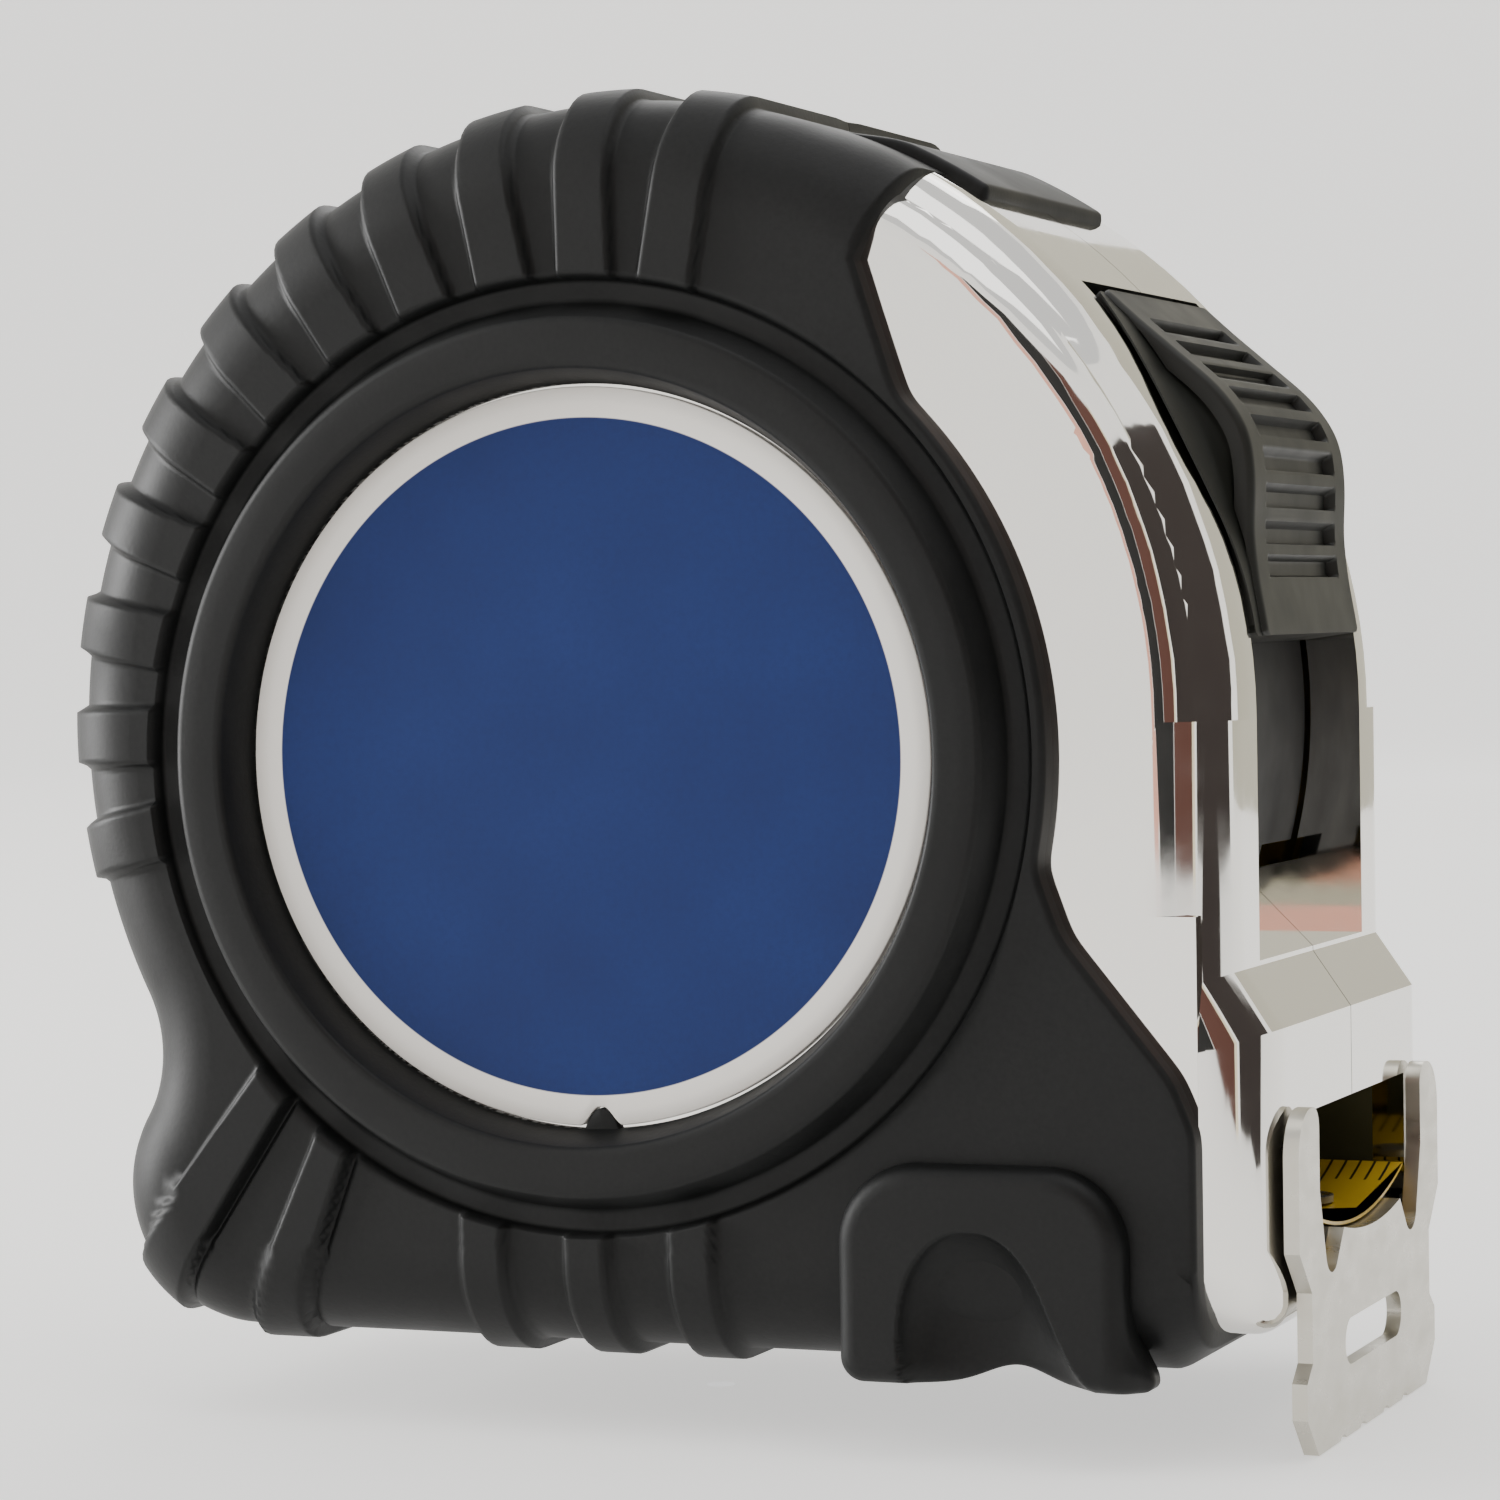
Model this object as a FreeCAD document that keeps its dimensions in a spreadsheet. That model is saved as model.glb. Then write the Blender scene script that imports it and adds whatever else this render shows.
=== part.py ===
import FreeCAD, Part
import Sketcher
import math
import os

# A pocket tape measure. x runs towards the hook, z up, and y across the case from the
# label side (negative) to the belt clip side. The origin lies on the base, on the middle
# plane, right under the spool axle. Sub-parts are drawn about the axle, then lifted.

doc = FreeCAD.newDocument("tape_measure")
sheet = doc.addObject("Spreadsheet::Sheet", "dims")

SIZES = {
    # the case: an arc about a point a little ahead of and above the axle
    "axis_height": 39.5,
    "arc_x": 2.0,
    "arc_z": 2.0,
    "front_r": 40.7,
    "shell_half": 21.0,
    "shell_edge": 7.0,
    "block_edge": 5.0,
    "block_corner": 2.0,
    "core_depth": 2.6,
    "core_edge": 3.0,
    "cavity_r": 37.3,
    "core_front": 41.0,
    "front_low": -60.0,
    "front_high": 62.0,
    "head_depth": 2.5,
    "nut_depth": 4.5,
    "run_top": -28.2,
    "cavity_half": 18.8,
    # the mouth block below the thumb slot
    "crease_z": -13.6,
    "block_top": -17.2,
    "block_x": 45.2,
    "block_wall": 2.2,
    "block_bottom": -36.4,
    "mouth_half": 13.8,
    "mouth_top": -23.0,
    "mouth_floor": -33.7,
    "chamber_back": 8.0,
    "guide_length": 6.0,
    "guide_side": 2.0,
    "guide_wall": 0.8,
    "buffer_half": 11.0,
    "buffer_low": -35.3,
    "buffer_high": -34.1,
    # the thumb slot and the lock that rides in it
    "slot_half": 12.75,
    "slot_end": 43.5,
    "lock_gap": 0.3,
    "lock_low": 7.6,
    "lock_high": 41.5,
    "lock_peak": 44.1,
    "lock_shoulder": 1.6,
    "groove_first": 0.17,
    "groove_pitch": 0.088,
    "groove_r": 0.6,
    "groove_half": 8.5,
    "tongue_wide_end": -14.0,
    "lock_seat": 0.03,
    "tongue_thick": 1.2,
    "tongue_gap": 0.2,
    "tip_half": 5.0,
    "tip_angle": 42.0,
    "pad_angle": 3.5,
    # the rubber jacket
    "jacket_r": 41.5,
    "jacket_half": 23.5,
    "jacket_edge": 7.0,
    "waist_x": -42.0,
    "waist_z": -22.0,
    "waist_r": 8.0,
    "heel_x": -25.9,
    "heel_r": 10.3,
    "rib_depth": 0.8,
    "rib_width": 3.9,
    "rib_first": 80.0,
    "rib_pitch": 11.2,
    "rib_root": 30.8,
    "band_start": 30.0,
    "band_reach": 24.0,
    "waist_band_x": -22.6,
    "waist_band_z": -22.0,
    "waist_band_angle": 233.6,
    "waist_band_width": 3.6,
    "heel_band_x": -18.2,
    "heel_band_z": -26.0,
    "heel_band_angle": 247.3,
    "heel_band_width": 3.3,
    "sole_rib_width": 3.1,
    "sole_rib_first": -7.05,
    "sole_rib_pitch": 7.4,
    "rim_half": 24.5,
    "rim_inner": 25.2,
    "rim_outer": 28.3,
    "rim_foot": 29.5,
    "rim_groove": 21.9,
    "window_r": 31.9,
    "chamfer_x": 38.5,
    "jacket_front": 41.4,
    "step_x": 41.2,
    "step_z": -23.3,
    "knee_x": 39.8,
    "knee_z": -20.0,
    "slope_x": 32.7,
    "slope_z": -11.3,
    "ring_foot_x": 31.1,
    "ring_foot_z": -7.0,
    "ring_top_x": 22.4,
    "horn_x": 20.4,
    "horn_z": 28.0,
    "horn_back_x": 20.2,
    "horn_back_z": 32.3,
    "horn_tip_x": 21.4,
    "horn_tip_z": 35.9,
    "jacket_end": 60.0,
    "tab_angle": 53.0,
    "tab_back": 66.0,
    "tab_depth": 3.0,
    "tab_half": 13.0,
    "bumper_back": 18.5,
    "bumper_top": -25.5,
    "bumper_corner": 5.0,
    "bumper_front": 38.8,
    "bumper_depth": 4.5,
    "bumper_round": 1.4,
    "scoop_r": 9.0,
    "scoop_x": 27.5,
    "scoop_out": 5.0,
    "scoop_lift": 0.5,
    # label
    "label_r": 24.0,
    "label_thick": 0.5,
    "label_gap": 0.2,
    "notch_x": 0.9,
    "notch_r": 1.3,
    # spool
    "post_r": 3.2,
    "running": 0.06,
    "drum_r": 17.6,
    "drum_wall": 1.8,
    "drum_lip": 0.2,
    "drum_floor": 1.5,
    "spring_gap": 0.4,
    "spring_eye": 1.2,
    "coil_r": 28.6,
    "blade_half": 12.5,
    "side_play": 0.4,
    "liner_thick": 0.4,
    "liner_r": 27.0,
    "seat_r": 20.0,
    # blade and hook
    "blade_z": -31.2,
    "blade_cup": 38.0,
    "blade_thick": 0.3,
    "blade_back": -29.2,
    "hook_thick": 1.0,
    "hook_gap": 0.3,
    "hook_half": 18.0,
    "hook_top": -22.3,
    "hook_bottom": -44.3,
    "throat_half": 13.1,
    "waist_half": 15.2,
    "foot_half": 16.6,
    "tab_width": 7.3,
    "tab_length": 12.0,
    "tab_gap": 0.12,
    "nail_half": 7.25,
    "nail_r": 1.5,
    "nail_z": -38.3,
    "rivet_r": 1.2,
    "rivet_head_r": 2.2,
    "rivet_foot_r": 2.0,
    "rivet_clear": 0.15,
    "rivet_back": 9.3,
    "rivet_front": 5.0,
    "rivet_across": 4.2,
    "foot_chamfer": 2.6,
    "foot_high": 4.9,
    "waist_low": 6.0,
    "waist_high": 10.4,
    "prong_low": 13.2,
    "prong_round": 3.0,
    "throat_round": 1.4,
    "throat_drop": 5.4,
    "throat_fillet": 1.6,
    "root_drop": 9.9,
    "shoulder_drop": 10.4,
    "shoulder_out": 1.7,
    "scallop_r": 1.2,
    "scallop_sink": 0.9,
    "hook_float": 1.0,
    # fasteners
    "screw_r": 1.3,
    "screw_head_r": 2.5,
    "screw_head": 1.8,
    "boss_r": 3.4,
    "boss_ring": 33.3,
    "back_screw_angle": 150.0,
    "top_screw_angle": 82.0,
    "heel_screw_x": -26.5,
    "heel_screw_z": -22.5,
    "front_screw_x": 35.5,
    "front_screw_z": -20.2,
    "screw_length": 14.5,
    "screw_clear": 0.1,
    "head_clear": 0.2,
    "hex_r": 1.25,
    "hex_depth": 1.2,
    # belt clip
    "clip_half": 8.0,
    "clip_thick": 1.0,
    "clip_top": 16.0,
    "clip_foot": 1.0,
    "clip_tip": -25.0,
    "clip_straight": 13.0,
    "clip_pinch_z": 6.0,
    "clip_pinch": 2.4,
    "clip_flare": 0.2,
    "clip_bend": 3.6,
    "clip_gap": 0.45,
    "clip_lift": 0.3,
    "clip_screw_z": 7.5,
    "nut_r": 2.2,
    "clip_screw_r": 1.4,
}

for row, (alias, number) in enumerate(SIZES.items(), start=1):
    sheet.set(f"A{row}", alias)
    sheet.set(f"B{row}", str(number))
    sheet.setAlias(f"B{row}", alias)
doc.recompute()


class Size:
    """A number together with the sheet expression that it comes from."""

    def __init__(self, value, text=None):
        self.value = float(value)
        self.text = str(value) if text is None else text

    def __add__(self, other):
        other = as_size(other)
        return Size(self.value + other.value, f"({self.text} + {other.text})")

    def __sub__(self, other):
        other = as_size(other)
        return Size(self.value - other.value, f"({self.text} - {other.text})")

    def __mul__(self, other):
        other = as_size(other)
        return Size(self.value * other.value, f"({self.text} * {other.text})")

    def __truediv__(self, other):
        other = as_size(other)
        return Size(self.value / other.value, f"({self.text} / {other.text})")

    def __radd__(self, other):
        return as_size(other) + self

    def __rsub__(self, other):
        return as_size(other) - self

    def __rmul__(self, other):
        return as_size(other) * self

    def __neg__(self):
        return as_size(0) - self


def as_size(number):
    """Wrap a plain number, and leave a Size as it is."""
    return number if isinstance(number, Size) else Size(number)


def dim(alias):
    """The named cell of the sheet."""
    return Size(sheet.get(alias), f"dims.{alias}")


def sine(angle):
    """Sine of an angle in degrees."""
    angle = as_size(angle)
    return Size(math.sin(math.radians(angle.value)), f"sin({angle.text} * 1 deg)")


def cosine(angle):
    """Cosine of an angle in degrees."""
    angle = as_size(angle)
    return Size(math.cos(math.radians(angle.value)), f"cos({angle.text} * 1 deg)")


def root(number):
    """Square root."""
    return Size(math.sqrt(number.value), f"sqrt({number.text})")


def bind(thing, name, size):
    """Tie a property to the sheet."""
    thing.setExpression(name, as_size(size).text)


def case_point(radius, angle):
    """A point on a circle about the centre of the case arc."""
    return (dim("arc_x") + radius * cosine(angle), dim("arc_z") + radius * sine(angle))


def new_body(name):
    """An empty PartDesign body."""
    return doc.addObject("PartDesign::Body", name)


def plane_of(body, role):
    """One of the body's own origin planes."""
    return next(f for f in body.Origin.OriginFeatures if f.Role == role)


def new_sketch(body, role, offset=0):
    """A sketch on one of the body's origin planes, moved along its normal."""
    sketch = body.newObject("Sketcher::SketchObject", body.Name + "_sketch")
    sketch.AttachmentSupport = (plane_of(body, role), "")
    sketch.MapMode = "FlatFace"
    offset = as_size(offset)
    sketch.AttachmentOffset.Base.z = offset.value
    bind(sketch, "AttachmentOffset.Base.z", offset)
    return sketch


def constrain(sketch, *arguments, size):
    """Add a driving constraint and tie it to the sheet."""
    index = sketch.addConstraint(Sketcher.Constraint(*arguments, as_size(size).value))
    bind(sketch, f"Constraints[{index}]", size)


def outline(sketch, corners):
    """Draw a closed outline through the corners.

    A corner is (across, up), or (across, up, radius) where an arc leads to the next one:
    its centre lies left of the path for a positive radius and right for a negative one.
    """
    ends = []
    for index, corner in enumerate(corners):
        following = corners[(index + 1) % len(corners)]
        start = FreeCAD.Vector(as_size(corner[0]).value, as_size(corner[1]).value, 0)
        stop = FreeCAD.Vector(as_size(following[0]).value, as_size(following[1]).value, 0)
        if len(corner) == 2:
            line = sketch.addGeometry(Part.LineSegment(start, stop), False)
            ends.append((line, 1, 2))
            continue
        radius = as_size(corner[2])
        reach = abs(radius.value)
        side = 1 if radius.value > 0 else -1
        half = (stop - start) * 0.5
        rise = math.sqrt(max(reach ** 2 - half.Length ** 2, 0.0))
        left = FreeCAD.Vector(-half.y, half.x, 0).normalize()
        centre = start + half + left * (rise * side)
        first, last = (start, stop) if side > 0 else (stop, start)
        circle = Part.Circle(centre, FreeCAD.Vector(0, 0, 1), reach)
        begin = math.atan2(first.y - centre.y, first.x - centre.x)
        finish = math.atan2(last.y - centre.y, last.x - centre.x)
        arc = sketch.addGeometry(Part.ArcOfCircle(circle, begin, finish), False)
        ends.append((arc, 1, 2) if side > 0 else (arc, 2, 1))
        constrain(sketch, "Radius", arc, size=radius if side > 0 else -radius)
    for index, corner in enumerate(corners):
        edge, first, _ = ends[index]
        before, _, last = ends[index - 1]
        sketch.addConstraint(Sketcher.Constraint("Coincident", before, last, edge, first))
        constrain(sketch, "DistanceX", -1, 1, edge, first, size=corner[0])
        constrain(sketch, "DistanceY", -1, 1, edge, first, size=corner[1])


def pad(body, sketch, length, reverse=False):
    """Pad a sketch: along its normal, or against it where reversed."""
    feature = body.newObject("PartDesign::Pad", body.Name + "_pad")
    feature.Profile = sketch
    feature.Reversed = reverse
    bind(feature, "Length", length)
    sketch.Visibility = False
    return feature


def side_slab(name, corners, depth, start=0):
    """A slab with its outline in the xz plane, from y = -start to y = -(start + depth)."""
    body = new_body(name)
    sketch = new_sketch(body, "XZ_Plane", start)
    outline(sketch, corners)
    pad(body, sketch, depth)
    doc.recompute()
    return body


def front_slab(name, corners, depth, start=0):
    """A slab with its outline in the yz plane, from x = start to x = start + depth."""
    body = new_body(name)
    sketch = new_sketch(body, "YZ_Plane", start)
    outline(sketch, corners)
    pad(body, sketch, depth)
    doc.recompute()
    return body


def turned(name, corners):
    """A ring about the axle, from its section: each corner is (radius, y)."""
    body = new_body(name)
    sketch = new_sketch(body, "XY_Plane")
    outline(sketch, corners)
    feature = body.newObject("PartDesign::Revolution", name + "_turn")
    feature.Profile = sketch
    feature.ReferenceAxis = (sketch, ["V_Axis"])
    feature.Angle = 360.0
    doc.recompute()
    return body


def fillet_edges(body, radius, wanted):
    """Round the edges of the body's tip for which wanted(edge) is true."""
    tip = body.Tip
    names = [f"Edge{i}" for i, edge in enumerate(tip.Shape.Edges, start=1) if wanted(edge)]
    feature = body.newObject("PartDesign::Fillet", body.Name + "_round")
    feature.Base = (tip, names)
    bind(feature, "Radius", radius)
    doc.recompute()
    return feature


def lies_at_y(edge, y):
    """Whether an edge lies in the plane at this y."""
    box = edge.BoundBox
    return abs(box.YMin - y) < 1e-4 and abs(box.YMax - y) < 1e-4


def box(name, low, high):
    """A Part box between two corners."""
    block = doc.addObject("Part::Box", name)
    for side, letter, start, stop in zip(("Length", "Width", "Height"), "xyz", low, high):
        bind(block, side, as_size(stop) - start)
        bind(block, f"Placement.Base.{letter}", start)
    return block


def rod(name, radius, start, length, x=0, z=0):
    """A Part cylinder along +y from y = start."""
    cylinder = doc.addObject("Part::Cylinder", name)
    cylinder.Placement.Rotation = FreeCAD.Rotation(FreeCAD.Vector(1, 0, 0), -90)
    bind(cylinder, "Radius", radius)
    bind(cylinder, "Height", length)
    bind(cylinder, "Placement.Base.x", x)
    bind(cylinder, "Placement.Base.y", start)
    bind(cylinder, "Placement.Base.z", z)
    return cylinder


def upright(name, radius, x, y, low, high):
    """A Part cylinder along +z between two heights."""
    cylinder = doc.addObject("Part::Cylinder", name)
    bind(cylinder, "Radius", radius)
    bind(cylinder, "Height", as_size(high) - low)
    bind(cylinder, "Placement.Base.x", x)
    bind(cylinder, "Placement.Base.y", y)
    bind(cylinder, "Placement.Base.z", low)
    return cylinder


def level(name, radius, x, y, z, length):
    """A Part cylinder along +x."""
    cylinder = doc.addObject("Part::Cylinder", name)
    cylinder.Placement.Rotation = FreeCAD.Rotation(FreeCAD.Vector(0, 1, 0), 90)
    bind(cylinder, "Radius", radius)
    bind(cylinder, "Height", length)
    bind(cylinder, "Placement.Base.x", x)
    bind(cylinder, "Placement.Base.y", y)
    bind(cylinder, "Placement.Base.z", z)
    return cylinder


def fuse(name, *shapes):
    """Join shapes."""
    joined = doc.addObject("Part::MultiFuse", name)
    joined.Shapes = list(shapes)
    joined.Refine = True
    return joined


def common(name, *shapes):
    """What the shapes share."""
    shared = doc.addObject("Part::MultiCommon", name)
    shared.Shapes = list(shapes)
    return shared


def cut(name, base, *tools):
    """Take the tools away from the base."""
    remainder = doc.addObject("Part::Cut", name)
    remainder.Base = base
    remainder.Tool = tools[0] if len(tools) == 1 else fuse(name + "_tools", *tools)
    return remainder


def group(name, *shapes):
    """Separate solids kept in one node."""
    together = doc.addObject("Part::Compound", name)
    together.Links = list(shapes)
    return together


def mirrored(name, source):
    """The same shape on the other side of the middle plane."""
    twin = doc.addObject("Part::Mirroring", name)
    twin.Source = source
    twin.Normal = FreeCAD.Vector(0, 1, 0)
    return twin


nodes = []


def node(thing, label):
    """Name a finished sub-part and lift it from the axle's frame to the base's."""
    thing.Label = label
    bind(thing, "Placement.Base.z", dim("axis_height"))
    nodes.append(thing)
    return thing


base_z = -dim("axis_height")
side_out = -dim("shell_half")


def rounded_disc(name, radius, half, edge):
    """Half of a disc about the centre of the case arc, with its outer edge rounded."""
    disc = turned(name, [
        (0, 0),
        (0, -half),
        (radius - edge, -half, edge),
        (radius, edge - half),
        (radius, 0),
    ])
    bind(disc, "Placement.Base.x", dim("arc_x"))
    bind(disc, "Placement.Base.z", dim("arc_z"))
    return disc


def foot_slab(name, inset, half, edge, front):
    """Half of the lower body: a waist behind, a round heel, and the flat sole."""
    heel_r = dim("heel_r") - inset
    heel_z = base_z + dim("heel_r")
    waist_r = dim("waist_r") + inset
    flat = waist_r + edge
    waist = turned(name + "_waist", [
        (0, 1.0), (0, -half - 1), (flat, -half - 1), (flat, -half, -edge), (waist_r, edge - half), (waist_r, 1.0),
    ])
    bind(waist, "Placement.Base.x", dim("waist_x"))
    bind(waist, "Placement.Base.z", dim("waist_z"))
    web = side_slab(name + "_web", [
        ((dim("arc_x") + dim("waist_x")) / 2, (dim("arc_z") + dim("waist_z")) / 2),
        (dim("waist_x"), dim("waist_z")),
        (dim("heel_x"), heel_z),
        (front, heel_z),
    ], half)
    heel = turned(name + "_heel", [
        (0, 0), (0, -half), (heel_r - edge, -half, edge), (heel_r, edge - half), (heel_r, 0),
    ])
    bind(heel, "Placement.Base.x", dim("heel_x"))
    bind(heel, "Placement.Base.z", heel_z)
    sole = side_slab(name, [
        (front, -10.0),
        (dim("heel_x"), -10.0),
        (dim("heel_x"), base_z + inset),
        (front, base_z + inset),
    ], half)
    level = (base_z + inset).value
    fillet_edges(sole, edge, lambda line: lies_at_y(line, -half.value) and abs(line.CenterOfMass.z - level) < 0.01)
    return fuse(name + "_all", cut(name + "_back", web, waist), heel, sole)


def case_blank():
    """Half of the case as a solid: the core that the rubber covers, and the bare front."""
    half = dim("shell_half")
    face = dim("arc_x") + dim("front_r")
    core_disc = rounded_disc("core_disc", dim("jacket_r") - dim("core_depth"), half, dim("core_edge"))
    core_foot = foot_slab("core_foot", dim("core_depth"), half, dim("core_edge"), dim("core_front"))
    front_disc = rounded_disc("front_disc", dim("front_r"), half, dim("shell_edge"))
    reach = dim("front_r") + 8.0
    sector = side_slab("front_sector", [
        (dim("arc_x"), dim("arc_z")),
        case_point(reach, dim("front_low")),
        (reach + 8.0, dim("arc_z")),
        case_point(reach, dim("front_high")),
    ], half)
    corner = dim("block_corner")
    block = side_slab("front_block", [
        (20.0, dim("block_bottom")),
        (dim("block_x") - corner, dim("block_bottom"), corner),
        (dim("block_x"), dim("block_bottom") + corner),
        (dim("block_x"), dim("block_top")),
        (face, dim("crease_z")),
        (face, dim("arc_z")),
        (20.0, dim("arc_z")),
    ], half)
    fillet_edges(block, dim("block_edge"), lambda edge: lies_at_y(edge, side_out.value) and edge.CenterOfMass.x > 42.0)
    front = common("case_front", front_disc, sector)
    return fuse("case_blank", core_disc, core_foot, front, block)


def slot_cutter():
    """The thumb slot: open down to the cavity, with a slope at its lower end."""
    inner = dim("cavity_r") - 2.0
    outer = dim("front_r") + 6.0
    face = dim("arc_x") + dim("front_r")
    depth = dim("front_r") - inner + 3.0
    return side_slab("slot_cutter", [
        (face - depth, dim("crease_z") + depth + 0.3),
        (face + 1.0, dim("crease_z") - 0.7),
        (face + 6.0, dim("arc_z"), outer),
        case_point(outer, dim("slot_end")),
        (*case_point(inner, dim("slot_end")), -inner),
    ], dim("slot_half"))


def screw_places():
    """Centres of the case screws, as (x, z)."""
    ring = dim("boss_ring")
    return [
        case_point(ring, dim("back_screw_angle")),
        case_point(ring, dim("top_screw_angle")),
        (dim("heel_screw_x"), dim("heel_screw_z")),
        (dim("front_screw_x"), dim("front_screw_z")),
    ]


def shell_halves():
    """The two halves of the chromed case."""
    depth = dim("cavity_half")
    cavity = rod("cavity", dim("cavity_r"), -depth, depth, dim("arc_x"), dim("arc_z"))
    floor = dim("arc_z") - dim("cavity_r")
    chamber = box("chamber", (dim("chamber_back"), -dim("mouth_half") - dim("guide_side"), floor),
                  (dim("block_x") - dim("block_wall"), 0, dim("mouth_top") + dim("guide_wall")))
    run = box("blade_run", (dim("blade_back") - 0.6, -dim("mouth_half"), floor), (10.0, 0, dim("run_top")))
    mouth = box("mouth", (dim("chamber_back"), -dim("mouth_half"), dim("mouth_floor")),
                (dim("block_x") + 1.0, 0, dim("mouth_top")))
    bumper_seat = box("bumper_seat", (dim("block_x") - 1.0, -dim("buffer_half"), dim("buffer_low")),
                      (dim("block_x") + 1.0, 0, dim("buffer_high")))
    hollow = cut("hollow_half", case_blank(), cavity, chamber, run, mouth, bumper_seat, slot_cutter())
    seat_face = dim("blade_half") + dim("side_play") + dim("liner_thick")
    seat = rod("seat", dim("seat_r"), -depth - 0.5, depth + 0.5 - seat_face)
    bosses = []
    for index, (x, z) in enumerate(screw_places()[:2]):
        bosses.append(rod(f"boss_{index}", dim("boss_r"), -depth - 0.5, depth + 0.5, x, z))
    filled = fuse("filled_half", hollow, seat, *bosses)
    socket = rod("post_socket", dim("post_r"), -depth, depth)
    bored = cut("bored_half", filled, socket)
    pilots = []
    passages = []
    for index, (x, z) in enumerate(screw_places()):
        pilots.append(rod(f"pilot_{index}", dim("screw_r"), -15.0, 15.0, x, z))
        passages.append(rod(f"passage_{index}", dim("screw_r") + dim("screw_clear"), 0, 30.0, x, z))
        passages.append(rod(f"head_seat_{index}", dim("screw_head_r") + dim("head_clear"), dim("shell_half") - dim("head_depth"), 30.0, x, z))
    nut_hole = rod("nut_hole", dim("nut_r"), dim("shell_half") - dim("nut_depth"), 10.0, 0, dim("clip_screw_z"))
    node(cut("left_shell", bored, *pilots), "left_case_shell")
    node(cut("right_shell", mirrored("right_half", bored), *passages, nut_hole), "right_case_shell")


def jacket_blank(name, inset):
    """Half of the rubber jacket as a solid, before its window is cut."""
    inset = as_size(inset)
    half = dim("jacket_half") - inset
    edge = dim("jacket_edge") - inset
    disc = rounded_disc(name + "_disc", dim("jacket_r") - inset, half, edge)
    foot = foot_slab(name + "_foot", inset, half, edge, 42.0)
    return fuse(name, disc, foot)


def window_cutter():
    """What is left open at the front, where the chromed case shows."""
    ring = dim("window_r")
    outside = dim("front_r") * 1.7
    return side_slab("window_cutter", [
        (dim("chamfer_x"), base_z - 5.0),
        (dim("chamfer_x"), base_z),
        (dim("jacket_front"), base_z + dim("jacket_front") - dim("chamfer_x")),
        (dim("step_x"), dim("step_z")),
        (dim("knee_x"), dim("knee_z")),
        (dim("slope_x"), dim("slope_z")),
        (dim("ring_foot_x"), dim("ring_foot_z"), ring),
        (dim("ring_top_x"), root(ring * ring - dim("ring_top_x") * dim("ring_top_x"))),
        (dim("horn_x"), dim("horn_z")),
        (dim("horn_back_x"), dim("horn_back_z")),
        (dim("horn_tip_x"), dim("horn_tip_z")),
        case_point(dim("jacket_r") + 5.0, dim("jacket_end")),
        (outside, outside),
        (outside, base_z - 5.0),
    ], outside)


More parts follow.
